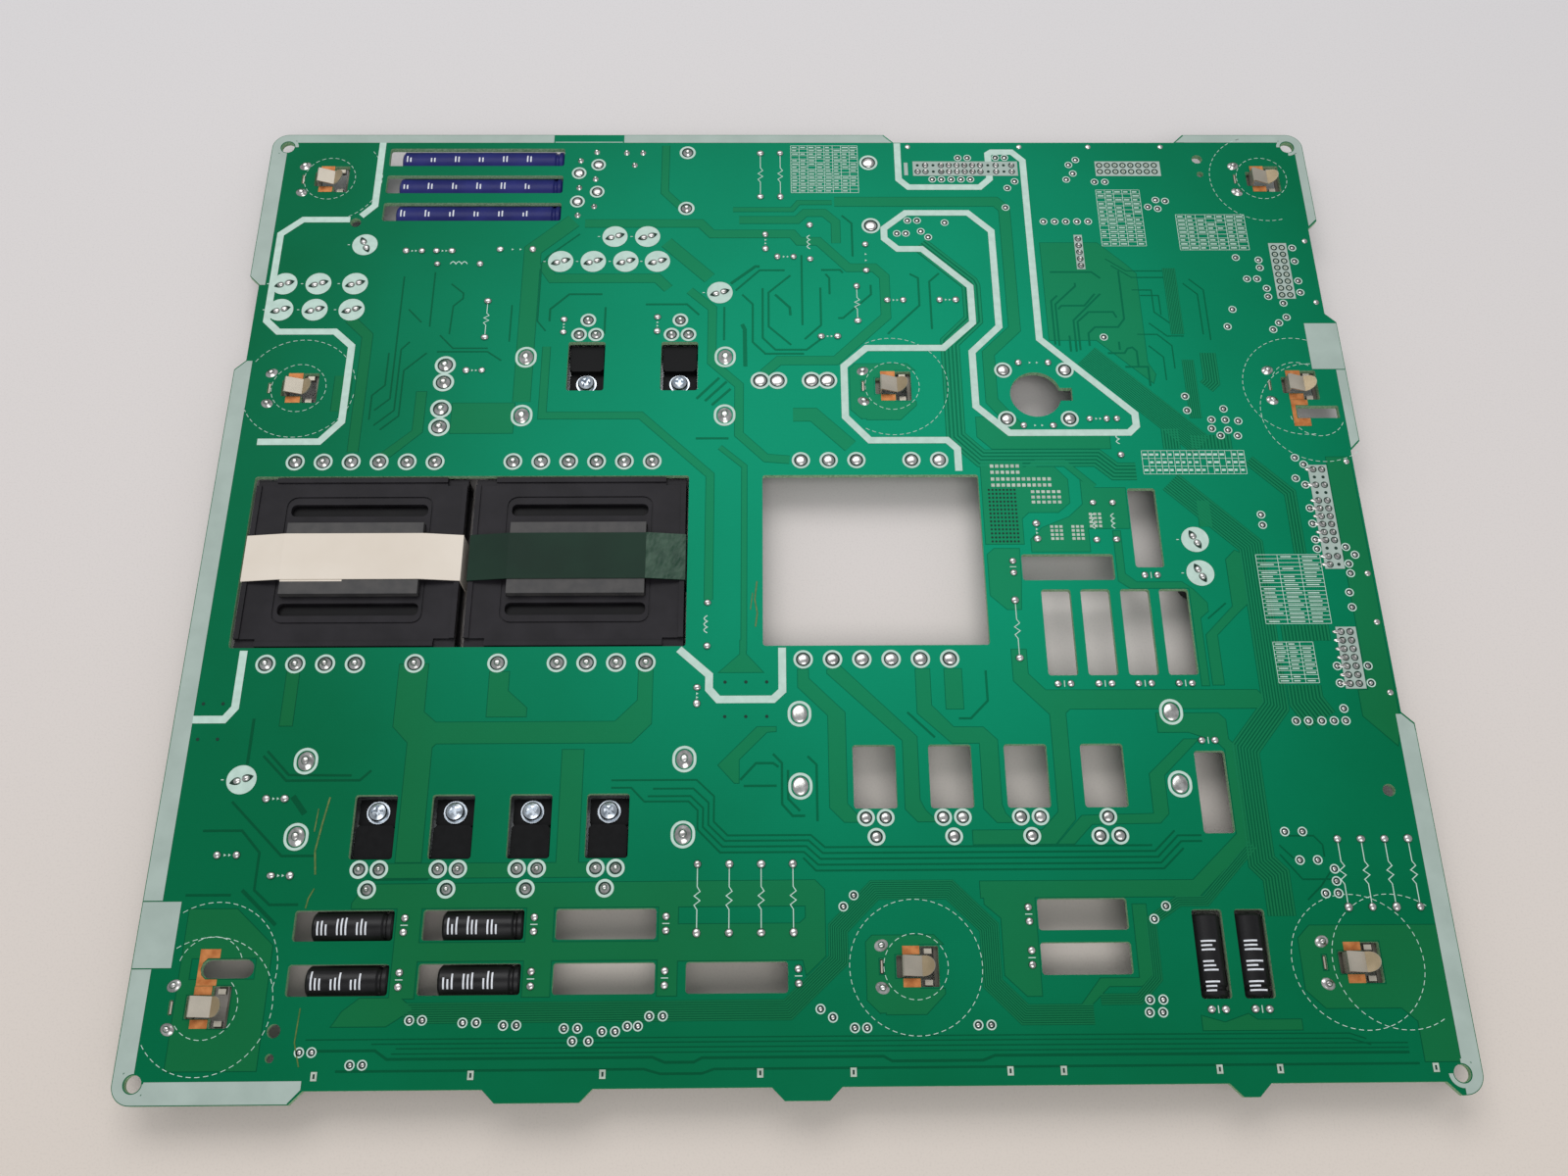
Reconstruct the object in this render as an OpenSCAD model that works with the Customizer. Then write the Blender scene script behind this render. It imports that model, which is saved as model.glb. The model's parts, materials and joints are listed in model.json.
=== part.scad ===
// Slim power supply board lying solder side up.
// X runs along the long edge, Y away from the front edge, Z up from the rest plane.
// Places are distances from the board's edges or from the transformers beside them.

/* [Board] */
// Length of the board
board_w = 330; // [300:0.1:360]
// Depth of the board
board_d = 291.6; // [280:0.1:320]
// Length of the margin left of the transformers
left_zone = 11.8; // [10:0.1:16]
// Length of the zone of slots and headers at the right, beside the spare window
right_zone = 112.1; // [104:0.1:130]
// Depth of the front zone, up to the transformers' front pins
front_zone = 111.55; // [100:0.05:130]
// Thickness of the laminate
board_t = 1.6; // [1:0.1:2.4]
// Height of the component side below the board
under_h = 10; // [9.6:0.1:14]
// Depth of the stepped-back edge stretches
edge_recess = 3.1; // [1:0.1:4]
// Radius of the four outer corners
corner_r = 5; // [2:0.5:8]
// Corner radius of the milled windows
window_r = 0.8; // [0.3:0.1:1.5]

/* [Mounting holes] */
// Distance of the fixing holes from the side edges
mount_in_x = 5; // [4.5:0.1:8]
// Distance of the fixing holes from the front and back edges
mount_in_y = 5; // [4.5:0.1:8]
// Diameter of the four fixing holes
mount_d = 4.2; // [3:0.1:5]
// Diameter of the locating holes
locator_d = 3.3; // [2.5:0.1:4]
// Diameter of the small holes beside two locating holes
pilot_d = 2.1; // [1.5:0.1:2.5]

/* [Transformers] */
// Length of one bobbin
bobbin_w = 59.8; // [56:0.1:60.2]
// Depth of the bobbin's cover in the window
bobbin_d = 51.2; // [48:0.1:54]
// Gap between the two transformers
bobbin_gap = 1.9; // [1:0.1:4]
// Thickness of the bobbin's cover
cover_t = 2.2; // [1.8:0.1:3]
// Thickness of the bobbin's lower flange
flange_t = 1.5; // [1:0.1:2]
// How far the cover's rim stays below the board's face
rim_drop = 0.1; // [0:0.1:0.6]
// Height of the cover's rim over its field
rim_h = 0.5; // [0.2:0.1:0.8]
// Width of the cover's rim
rim_w = 1.4; // [0.8:0.1:2.5]
// Length of the two cover slots
slot_l = 38.6; // [30:0.1:40]
// Width of the two cover slots
slot_w = 3.7; // [2:0.1:4]
// Distance of the cover slots from the middle
slot_y = 15.1; // [14:0.1:16]
// Thickness of the floor under the two cover slots
slot_floor = 0.6; // [0.4:0.1:1]
// Pitch of the pins along a row
pin_pitch = 8; // [7:0.1:8.4]
// Distance of the pin rows from the bobbin's cover
pin_out = 5.15; // [4.4:0.05:7]
// Diameter of a pin
pin_d = 1; // [0.8:0.1:1.2]
// Length of the ferrite core
core_w = 38; // [36:0.1:40]
// Depth of the ferrite core
core_d = 21.6; // [16:0.1:22]
// Thickness of a core plate
core_t = 3; // [2:0.1:3.4]
// Width of an outer core leg
core_leg = 4; // [3:0.1:4.5]
// Width of the middle core leg
core_post = 12; // [8:0.1:13]
// How far the core stands over the board's face
core_proud = 1.4; // [1:0.1:2.5]
// Width of the tape round the core
tape_w = 13.9; // [10:0.1:18]
// Thickness of the tape's layers
tape_t = 0.3; // [0.2:0.05:0.5]

/* [Transistors] */
// Pitch of the front row of transistors
fet_pitch = 20; // [16:0.1:21]
// Width of a transistor package
fet_w = 10; // [9:0.1:10.6]
// Length of a transistor package
fet_l = 15.9; // [15:0.1:16.4]
// Length of the thin mounting end
fet_tab_l = 7.2; // [6.8:0.1:8]
// Thickness of the moulded body
fet_t = 4.6; // [4:0.1:4.8]
// Thickness of the mounting end
fet_tab_t = 2.8; // [2:0.1:3.2]
// Pitch of the three leads
lead_pitch = 2.54; // [2:0.01:2.8]
// Diameter of a screw's thread
screw_d = 3; // [2.5:0.1:3.5]
// Diameter of a screw's washer
washer_d = 6; // [5.5:0.1:6.5]
// Height of a screw's head over the washer
screw_head_h = 1.7; // [1.2:0.1:2]

/* [Heat sinks] */
// Thickness of the base plate
sink_t = 3; // [2:0.1:4]
// Thickness of the end walls
sink_wall = 1.6; // [1:0.1:2]
// Width of a solder leg
sink_leg_w = 3; // [2:0.1:3.4]

/* [Capacitors] */
// Diameter of a bulk capacitor
bulk_d = 10; // [9:0.1:10.4]
// Length of a bulk capacitor
bulk_l = 51.4; // [46:0.1:54]
// Spacing of the bulk capacitors
bulk_pitch = 10.65; // [10.6:0.05:12]
// Width of a bulk capacitor's slot
bulk_slot_w = 6.9; // [6:0.1:8]
// Diameter of an output capacitor
out_d = 8; // [7.4:0.1:8.6]
// Length of an output capacitor
out_l = 20.4; // [16:0.1:22]
// Width of an output capacitor's slot
out_slot_w = 7.6; // [7:0.1:8.4]
// Lead spacing of the output and upright capacitors
cap_lead_pitch = 3.5; // [2.5:0.1:4]
// Diameter of an upright capacitor
radial_d = 8; // [6:0.1:8.6]
// Height of an upright capacitor
radial_h = 9; // [6:0.1:9.5]

/* [Ground clips] */
// Length of the narrow part of a clip's window
clip_narrow_x = 6; // [5.4:0.1:6.6]
// Depth of the narrow part of a clip's window
clip_narrow_y = 5.5; // [5.4:0.1:7]
// Length of the wide part of a clip's window
clip_wide_x = 4.6; // [4.2:0.1:5.4]
// Depth of the wide part of a clip's window
clip_wide_y = 10; // [9:0.1:11]
// Width of the spring tongue
tongue_w = 5; // [4:0.1:5]
// Height of the tongue's root bend over the board's face
tongue_h = 2.6; // [2:0.1:3.5]
// Height of the tongue's crease over the board's face
tongue_crease_h = 0.8; // [0.6:0.1:1.4]
// Height of the tongue's tip over the board's face
tongue_tip_h = 2.8; // [1.6:0.1:3.5]
// Thickness of the spring metal
clip_t = 0.4; // [0.3:0.05:0.6]

/* [Connectors] */
// Pitch of the contacts
way_pitch = 2.5; // [2:0.1:2.54]
// Side of a square contact
way_pin = 0.64; // [0.5:0.02:0.7]
// Thickness of the header's base
header_base = 3; // [2:0.1:4]
// Thickness of the header's locking wall
header_wall = 1; // [0.8:0.1:1.4]
// How far contacts and leads stand over the board's face
lead_proud = 0.8; // [0.5:0.1:1.2]

/* [Small parts] */
// Diameter of an axial resistor
resistor_d = 4; // [3:0.1:5]
// Length of an axial resistor
resistor_l = 10; // [8:0.1:11]
// Diameter of a disc capacitor
disc_d = 5; // [4:0.1:6]
// Diameter of a thin lead
lead_d = 0.6; // [0.5:0.05:0.8]

/* [Hidden] */

$fn = 48;
lead_sides = 8;
margin = 1;
fit = 0.2;
hole_clear = 0.3;

pin_rows = bobbin_d + 2 * pin_out;
pair_w = 2 * (bobbin_w + 2 * tape_t) + bobbin_gap;
left = -board_w / 2;
right = board_w / 2;
front = -board_d / 2;
back = board_d / 2;
board_bottom = under_h;
board_top = under_h + board_t;

// Transformer levels and places
rim_top = board_top - rim_drop;
cover_top = rim_top - rim_h;
cover_bottom = cover_top - cover_t;
core_top = board_top + core_proud;
core_bottom = tape_t;
core_middle = (core_top + core_bottom) / 2;
flange_bottom = core_bottom + core_t + fit;
flange_top = flange_bottom + flange_t;
pair_end = left + left_zone + pair_w;
transformer_x = [left + left_zone + tape_t + bobbin_w / 2, pair_end - tape_t - bobbin_w / 2];
transformer_y = front + front_zone + pin_rows / 2;
pins_back = transformer_y + pin_rows / 2;
frame_shift = 0.4;
tube_wall = 1;
rail_w = 6.5;
pin_count = 6;
back_skip = [-1, -1];
front_skip = [4, 1];
window_clear = 0.5;

// Transistor and heat sink places
sink_top = board_bottom - fit - fet_t;
sink_bottom = sink_top - sink_t;
lead_rise = 2.5;
lead_w = 0.8;
lead_t = 0.5;
lead_near = 3;
lead_far = 8.1;
screw_in = 3.5;
washer_t = 0.5;
front_fet_x = [for (i = [0:3]) left + 55.8 + i * fet_pitch];
front_fet_y = front + 74.9;
back_fet_x = [left + 103.7, left + 131.4];
back_fet_y = pins_back + 24.05;
front_sink_x = [left + 36.3, left + 135.3];
front_sink_y = [front + 64.5, front + 84.5];
back_sink_x = [left + 85.8, left + 145];
back_sink_y = [pins_back + 15.15, pins_back + 35.05];
sink_over = 2.4;
fet_window_x = 5.5;
fet_window_gap = 0.45;

// Capacitor places
bulk_x = left + 41.7;
bulk_y = [for (i = [0:2]) back - 9 - i * bulk_pitch];
bulk_z = board_bottom - 3.8;
bulk_slot_lead = 3.9;
bulk_lead_x = [for (out = [5.4, 10.4]) bulk_x + bulk_l + out];
bulk_lead_y = [-1.3, 2.1];
out_z = board_bottom - 2;
out_row_y = [front + 42, front + 28.75];
out_x = [left + 43, left + 75.5];
out_slot_x = [[left + 38.6, left + 63.5], [left + 70.7, left + 96], [left + 103.9, left + 129.1]];
out_slot_last_x = [left + 136.7, left + 162];
out_lead_out = 2.6;
out_side_x = [right - 62.25, right - 51.45];
out_side_y = front + 23.2;
out_side_slot_y = [front + 22.8, front + 44.6];
upright_places = concat(
    [[left + 33.6, back - 42.8], [left + 110.5, back - 39.8], [left + 120.6, back - 39.8]],
    [for (x = [left + 10.8, left + 21.1, left + 32.2], y = [back - 57.2, back - 66.6]) [x, y]],
    [for (x = [left + 94.2, left + 104.2, left + 114.2, left + 123.9]) [x, back - 49.1]],
    [[left + 143.2, back - 60.6], [left + 20.2, front + 79.6]],
    [[right - 52.1, transformer_y + 5.3], [right - 51.9, transformer_y - 5]]
);
upright_turned = [0, 15, 16];

// Ground clip places
clip_places = [
    [left + 20.7, back - 17.6], [left + 20.4, back - 93.9], [pair_end + 60.5, back - 93.6],
    [right - 14.3, back - 17.6], [right - 14.3, back - 93.6], [left + 20.4, front + 22.6],
    [pair_end + 60, front + 31.1], [right - 25, front + 31.3]
];
clip_leg_x = -9.2;
clip_leg_y = 5.2;
clip_leg_d = 1.6;
clip_key_w = 3;
clip_step = 0.4;
clip_corner_r = 0.4;
tongue_start = clip_step - 4.6;
tongue_crease = clip_step + 0.4;
tongue_end = clip_step + 3.4;

// Header places: centre, columns, rows, turned, and the missing contacts as [column, row]
headers = [
    [[right - 109.4, back - 13.5], 13, 2, 0, [[0, 1], [2, 0], [2, 1], [9, 0], [9, 1], [11, 0], [11, 1]]],
    [[right - 13.9, transformer_y + 12.45], 13, 2, 90,
        [[11, 0], [11, 1], [9, 0], [9, 1], [2, 0], [2, 1], [0, 0]]],
    [[right - 14.2, transformer_y - 30.25], 7, 2, 90, []],
    [[right - 75.7, back - 45.8], 5, 1, 90, []]
];
header_side = 0.5;
header_step = 2;
// Drilled rows for headers that are not fitted
spare_headers = [
    [[right - 57.55, back - 13.5], 8, 2, 0, []],
    [[right - 13.8, back - 52.95], 8, 2, 90, []]
];

// Two-lead parts: first lead, lead distance, direction
resistors = [
    [[left + 155.6, back - 24.6], 17.1, 90], [[left + 161.9, back - 24.6], 17.1, 90],
    [[left + 73, pins_back + 42.05], 12.9, 90], [[pair_end + 50.4, back - 70.8], 12.5, 90],
    [[right - 104.3, transformer_y - 30], 17, 90],
    for (i = [0:3]) [[left + 139.2 + 8.1 * i, front + 39.6], 17.2, 90],
    for (i = [0:3]) [[right - 26 + 6.1 * i, front + 44.9], 17.4, 90]
];
discs = [
    [[left + 46.5, back - 45.1], 4.8, 0], [[left + 55.8, back - 45.1], 4.8, 0],
    [[left + 96.4, pins_back + 43.85], 4.5, 90], [[left + 124.5, pins_back + 44.15], 5, 90],
    [[left + 68.4, pins_back + 30.55], 4.6, 0], [[pair_end + 22.6, back - 44.4], 5.3, 90],
    [[pair_end + 26.3, back - 47.4], 5, 0], [[pair_end + 59.6, back - 63.4], 4.8, 0],
    [[pair_end + 75.5, back - 63.3], 4.9, 0], [[pair_end + 39.3, back - 76.3], 4.9, 0],
    [[right - 78.2, pins_back + 13.65], 5, 0], [[right - 96.6, transformer_y + 5.7], 4.8, 90],
    [[left + 27.3, front + 74.5], 4.8, 0], [[left + 16.9, front + 59.9], 4.9, 0],
    [[left + 31.2, front + 54.6], 4.8, 0], [[pair_end + 3.8, transformer_y - 42.5], 4.5, 90]
];
beads = [
    [[left + 56.5, back - 50], 13.1, 0], [[pair_end + 36.4, back - 48.3], 12.8, 90],
    [[pair_end + 6.3, transformer_y - 26.1], 12.7, 90], [[right - 70.2, transformer_y + 32.4], 12, 90],
    [[right - 74.3, transformer_y + 5.4], 11.6, 90], [[right - 79.9, transformer_y + 5.3], 11.7, 90]
];
diodes = [
    [[left + 75.3, back - 44.6], 10.1, 0], [[pair_end + 53.5, back - 52.5], 9.7, 90],
    [[right - 97.7, back - 85.7], 8.9, 0], [[right - 97.7, back - 107.1], 8.7, 0]
];
diode_d = 2.7;
diode_l = 5.2;
bead_d = 3.6;
bead_l = 5;
disc_t = 2.6;
disc_drop = 1;

// Line filter and film capacitor places
filter_x = left + 62.1;
filter_pins_y = [for (y = [32.35, 26.45, 17.45, 11.45]) pins_back + y];
filter_core_w = 20;
filter_centre = [filter_x - 6.5, (filter_pins_y[0] + filter_pins_y[3]) / 2];
filter_core_d = 27;
filter_limb = 3.4;
filter_core_t = 4.4;
filter_coil_t = 1.2;
filter_coil_l = 15;
film_x = left + 132.4;
film_y = [back - 29.1, back - 7.2];
film_w = 8.5;
film_end = 2.2;
film_h = 8.6;
power_lead_d = 1;

// Empty windows for parts that are not fitted: [x0, x1, y0, y1]
spare_gap = 21.5;
window_half_d = bobbin_d / 2 + window_clear;
spare_windows = concat(
    [[pair_end + spare_gap, right - right_zone,
        transformer_y - window_half_d, transformer_y + window_half_d]],
    [for (x = [right - 144.8, right - 124.8, right - 104.8, right - 84.6])
        [x - 5.65, x + 5.65, front + 71, front + 88.1]],
    [for (x = [right - 92.8, right - 81.9, right - 70.9, right - 60.1])
        [x - 4.05, x + 4.05, transformer_y - 35, transformer_y - 9.8]],
    [[right - 101.6, right - 75.8, transformer_y - 7, transformer_y + 0.9]],
    [[right - 69.7, right - 61.7, transformer_y - 3.2, transformer_y + 21.5]],
    [[right - 60.2, right - 52.1, front + 64, front + 86]],
    [for (y = [front + 39.7, front + 28.8]) [right - 104.9, right - 82.2, y, y + 7.9]]
);
keyed_hole = [right - 93.3, back - 96.6];
keyed_hole_r = 7.55;
key_reach = 10.8;
key_w = 4.3;

// Straight helpers
module slab(x0, x1, y0, y1, z0, z1) {
    translate([x0, y0, z0]) cube([x1 - x0, y1 - y0, z1 - z0]);
}

module centred(w, d, z0, z1) {
    slab(-w / 2, w / 2, -d / 2, d / 2, z0, z1);
}

function arc_points(centre, r, start, count = 4) =
    [for (i = [0:count]) let (a = start + 90 * i / count) centre + r * [cos(a), sin(a)]];

function rounded_points(x0, x1, y0, y1, r) = concat(
    arc_points([x1 - r, y1 - r], r, 0), arc_points([x0 + r, y1 - r], r, 90),
    arc_points([x0 + r, y0 + r], r, 180), arc_points([x1 - r, y0 + r], r, 270)
);

module rounded_block(x0, x1, y0, y1, r, z0, z1) {
    translate([0, 0, z0]) linear_extrude(z1 - z0) polygon(rounded_points(x0, x1, y0, y1, r));
}

// A cut that runs past both faces of the board
module through(x0, x1, y0, y1, r = window_r) {
    rounded_block(x0, x1, y0, y1, r, board_bottom - margin, board_top + margin);
}

module drill(place, d, sides = $fn) {
    translate([place[0], place[1], board_bottom - margin])
        cylinder(d = d, h = board_t + 2 * margin, $fn = sides);
}

// A round lead from the level low up to the solder face
module riser(place, d, low, sides = $fn) {
    translate([place[0], place[1], low]) cylinder(d = d, h = board_top - low, $fn = sides);
}

// Outline of the board with its stepped edges
function board_points() = let (s = edge_recess) [
    [left, front], [left + 42.6, front], [left + 42.6 + s, front + s],
    [left + 91.5 - s, front + s], [left + 91.5, front],
    [left + 111.8, front], [left + 111.8 + s, front + s],
    [left + 161 - s, front + s], [left + 161, front],
    [left + 171.8, front], [left + 171.8 + s, front + s],
    [right - 58.7 - s, front + s], [right - 58.7, front],
    [right - 54.8, front], [right - 54.8 + s, front + s],
    [right - 6 - s, front + s], [right - 6, front], [right, front],
    [right, front + 93.4], [right - s, front + 93.4 + s],
    [right - s, back - 112.5 - s], [right, back - 112.5],
    [right, back - 71.6], [right - s, back - 71.6 + s],
    [right - s, back - 33.9 - s], [right, back - 33.9], [right, back],
    [right - 38.3, back], [right - 38.3 - s, back - s],
    [right - 134.8 + s, back - s], [right - 134.8, back], [left, back],
    [left, back - 54.4], [left + s, back - 54.4 - s], [left + s, back - 87.5 + s], [left, back - 87.5]
];

module board_blank() {
    intersection() {
        translate([0, 0, board_bottom]) linear_extrude(board_t) polygon(board_points());
        union() {
            centred(board_w - 2 * corner_r, board_d, board_bottom - margin, board_top + margin);
            centred(board_w, board_d - 2 * corner_r, board_bottom - margin, board_top + margin);
            for (x = [left + corner_r, right - corner_r], y = [front + corner_r, back - corner_r])
                drill([x, y], 2 * corner_r);
        }
    }
}

locator_places = [
    [left + 29.8, back - 34.4], [right - 34.7, back - 9.8],
    [left + 37, front + 16.9], [right - 10.2, front + 75.1]
];
pilot_places = [[right - 34.4, back - 15.8], [left + 36.8, front + 10.6]];
round_slot_r = 2.2;

module fixing_holes() {
    for (x = [left + mount_in_x, right - mount_in_x], y = [front + mount_in_y, back - mount_in_y])
        drill([x, y], mount_d);
    for (p = locator_places)
        drill(p, locator_d);
    for (p = pilot_places)
        drill(p, pilot_d);
    through(left + 17.2, left + 30.2, front + 29.4, front + 34, round_slot_r);
    through(right - 16.8, right - 4.4, back - 104.8, back - 100.7, clip_corner_r);
}

module fet_window(x, y0, y1) {
    through(x - fet_window_x, x + fet_window_x, y0 - fet_window_gap, y1 + fet_window_gap);
}

module part_windows() {
    through(
        transformer_x[0] - bobbin_w / 2 - tape_t - window_clear,
        transformer_x[1] + bobbin_w / 2 + tape_t + window_clear,
        transformer_y - window_half_d,
        transformer_y + window_half_d
    );
    for (x = front_fet_x)
        fet_window(x, front_fet_y - fet_l, front_fet_y);
    for (x = back_fet_x)
        fet_window(x, back_fet_y, back_fet_y + fet_l);
    for (y = bulk_y)
        through(bulk_x - bulk_slot_lead, bulk_x + bulk_l + fit, y - bulk_slot_w / 2, y + bulk_slot_w / 2);
    for (y = out_row_y, x = out_slot_x)
        through(x[0], x[1], y - out_slot_w / 2, y + out_slot_w / 2);
    through(out_slot_last_x[0], out_slot_last_x[1],
        out_row_y[1] - out_slot_w / 2, out_row_y[1] + out_slot_w / 2);
    for (x = out_side_x)
        through(x - out_slot_w / 2, x + out_slot_w / 2, out_side_slot_y[0], out_side_slot_y[1]);
    for (w = spare_windows)
        through(w[0], w[1], w[2], w[3]);
    drill(keyed_hole, 2 * keyed_hole_r);
    slab(keyed_hole[0], keyed_hole[0] + key_reach, keyed_hole[1] - key_w / 2, keyed_hole[1] + key_w / 2,
        board_bottom - margin, board_top + margin);
}

module clip_windows() {
    for (p = clip_places) {
        step = p[0] + clip_step;
        through(step - clip_narrow_x, step + margin,
            p[1] - clip_narrow_y / 2, p[1] + clip_narrow_y / 2, clip_corner_r);
        through(step, step + clip_wide_x, p[1] - clip_wide_y / 2, p[1] + clip_wide_y / 2, clip_corner_r);
        through(p[0] + clip_leg_x - clip_t / 2 - hole_clear, p[0] + clip_leg_x + clip_t / 2 + hole_clear,
            p[1] - clip_key_w / 2 - hole_clear, p[1] + clip_key_w / 2 + hole_clear, hole_clear);
        for (s = [-1, 1])
            drill([p[0] + clip_leg_x, p[1] + s * clip_leg_y], clip_leg_d + hole_clear);
    }
}

// Two lead places of a part in a list
function lead_places(part) = let (d = part[1], a = part[2]) [part[0], part[0] + d * [cos(a), sin(a)]];

function upright_angle(i) = len(search(i, upright_turned)) > 0 ? 90 : 0;

function upright_leads(i) = let (a = upright_angle(i), p = upright_places[i])
    [for (s = [-1, 1]) p + s * cap_lead_pitch / 2 * [cos(a), sin(a)]];

function out_lead_places() = concat(
    [for (y = out_row_y, x = out_x, s = [-1, 1]) [x + out_l + out_lead_out, y + s * cap_lead_pitch / 2]],
    [for (x = out_side_x, s = [-1, 1]) [x + s * cap_lead_pitch / 2, out_side_y - out_lead_out]]
);

function bulk_lead_places() = [for (y = bulk_y, i = [0, 1]) [bulk_lead_x[i], y + bulk_lead_y[i]]];

function header_pin_places(h) = let (a = h[3], c = h[0]) [
    for (i = [0:h[1] - 1], j = [0:h[2] - 1])
        if (len([for (m = h[4]) if (m == [i, j]) 1]) == 0)
            let (u = (i - (h[1] - 1) / 2) * way_pitch, v = (j - (h[2] - 1) / 2) * way_pitch)
            c + [u * cos(a) - v * sin(a), u * sin(a) + v * cos(a)]
];

function pin_places(t) = concat(
    [for (i = [0:pin_count - 1]) if (i != back_skip[t]) [pin_x(t, i), transformer_y + pin_rows / 2]],
    [for (i = [0:pin_count - 1]) if (i != front_skip[t]) [pin_x(t, i), transformer_y - pin_rows / 2]]
);

function pin_x(t, i) = transformer_x[t] + (i - (pin_count - 1) / 2) * pin_pitch;

// Lead places of a transistor at p; turn is 1 with the leads to the front and -1 to the back
function fet_leads(p, turn) = [
    [p[0] - lead_pitch, p[1] - turn * (fet_l + lead_near)],
    [p[0] + lead_pitch, p[1] - turn * (fet_l + lead_near)],
    [p[0], p[1] - turn * (fet_l + lead_far)]
];

fets = concat(
    [for (x = front_fet_x) [[x, front_fet_y], 1]],
    [for (x = back_fet_x) [[x, back_fet_y], -1]]
);

function sink_leg_places() = concat(
    [for (x = front_sink_x, y = front_sink_y) [x, y]],
    [for (x = back_sink_x, y = back_sink_y) [x, y]]
);

filter_pins = [for (y = filter_pins_y) [filter_x, y]];
film_pins = [for (y = film_y) [film_x, y]];

module lead_holes() {
    for (t = [0, 1], p = pin_places(t))
        drill(p, pin_d + hole_clear, lead_sides);
    for (f = fets, p = fet_leads(f[0], f[1]))
        drill(p, lead_w * sqrt(2) + hole_clear, lead_sides);
    for (p = sink_leg_places())
        through(p[0] - sink_wall / 2 - hole_clear, p[0] + sink_wall / 2 + hole_clear,
            p[1] - sink_leg_w / 2 - hole_clear, p[1] + sink_leg_w / 2 + hole_clear, hole_clear);
    for (p = concat(filter_pins, film_pins))
        drill(p, power_lead_d + hole_clear, lead_sides);
    for (p = concat(out_lead_places(), bulk_lead_places()))
        drill(p, lead_d + hole_clear, lead_sides);
    for (i = [0:len(upright_places) - 1], p = upright_leads(i))
        drill(p, lead_d + hole_clear, lead_sides);
    for (part = concat(resistors, diodes, discs, beads), p = lead_places(part))
        drill(p, lead_d + hole_clear, lead_sides);
    for (h = concat(headers, spare_headers), p = header_pin_places(h))
        drill(p, way_pin * sqrt(2) + hole_clear, lead_sides);
}

module circuit_board() {
    color("seagreen")
    difference() {
        board_blank();
        fixing_holes();
        part_windows();
        clip_windows();
        lead_holes();
    }
}

// Openings in both bobbin flanges for the three core legs
module core_leg_holes() {
    low = flange_bottom - margin;
    high = cover_top + margin;
    centred(core_post + 2 * fit, core_d + 2 * fit, low, high);
    for (s = [-1, 1])
        translate([s * (core_w - core_leg) / 2, 0, 0])
            centred(core_leg + 2 * fit, core_d + 2 * fit, low, high);
}

// Cover with its rim, corner notches, framed field and two long slots
module bobbin_cover() {
    notch_x = 5.6;
    notch_y = 2.2;
    notch_h = 1.3;
    frame_x = 20.7;
    frame_y = 19.4;
    frame_r = 3;
    groove_w = 0.5;
    groove_h = 0.35;
    difference() {
        centred(bobbin_w, bobbin_d, cover_bottom, rim_top);
        centred(bobbin_w - 2 * rim_w, bobbin_d - 2 * rim_w, cover_top, rim_top + margin);
        for (x = [-1, 1], y = [-1, 1])
            translate([x * (bobbin_w - notch_x) / 2, y * (bobbin_d - notch_y) / 2, 0])
                centred(notch_x + fit, notch_y + fit, rim_top - notch_h, rim_top + margin);
        translate([0, frame_shift, 0]) {
            difference() {
                rounded_block(-frame_x, frame_x, -frame_y, frame_y, frame_r,
                    cover_top - groove_h, rim_top);
                rounded_block(groove_w - frame_x, frame_x - groove_w,
                    groove_w - frame_y, frame_y - groove_w,
                    frame_r - groove_w, cover_top - 2 * groove_h, rim_top + margin);
            }
            for (s = [-1, 1])
                rounded_block(-slot_l / 2, slot_l / 2, s * slot_y - slot_w / 2, s * slot_y + slot_w / 2,
                    slot_w * 0.4, cover_bottom + slot_floor, rim_top + margin);
        }
        centred(core_w + 2 * fit, core_d + 2 * fit, core_top - core_t - fit, rim_top + margin);
        core_leg_holes();
    }
}

module bobbin(t) {
    rail_x = pin_count * pin_pitch;
    rail_out = pin_rows + rail_w;
    wall_t = 1.2;
    color([0.13, 0.13, 0.14])
    translate([transformer_x[t], transformer_y, 0]) {
        bobbin_cover();
        difference() {
            union() {
                centred(bobbin_w, bobbin_d, flange_bottom, flange_top);
                centred(rail_x, rail_out, flange_bottom, flange_top);
                for (s = [-1, 1])
                    translate([0, s * pin_rows / 2, 0])
                        centred(rail_x, rail_w, flange_top, board_bottom);
                for (s = [-1, 1])
                    translate([0, s * (bobbin_d - wall_t) / 2, 0])
                        centred(bobbin_w, wall_t, flange_top, cover_bottom);
                centred(core_post + 2 * (fit + tube_wall), core_d + 2 * (fit + tube_wall),
                    flange_top, cover_bottom);
            }
            core_leg_holes();
            translate([-transformer_x[t], -transformer_y, 0])
                for (p = pin_places(t))
                    translate([p[0], p[1], flange_top])
                        cylinder(d = pin_d + fit / 2, h = board_bottom, $fn = lead_sides);
        }
    }
}

module core_half(t, low, high, plate_low, plate_high) {
    color([0.36, 0.36, 0.37])
    translate([transformer_x[t], transformer_y, 0]) {
        centred(core_w, core_d, plate_low, plate_high);
        centred(core_post, core_d, low, high);
        for (s = [-1, 1])
            translate([s * (core_w - core_leg) / 2, 0, 0])
                centred(core_leg, core_d, low, high);
    }
}

module core_upper(t) {
    core_half(t, core_middle, core_top - core_t, core_top - core_t, core_top);
}

module core_lower(t) {
    core_half(t, core_bottom + core_t, core_middle, core_bottom, core_bottom + core_t);
}

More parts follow.
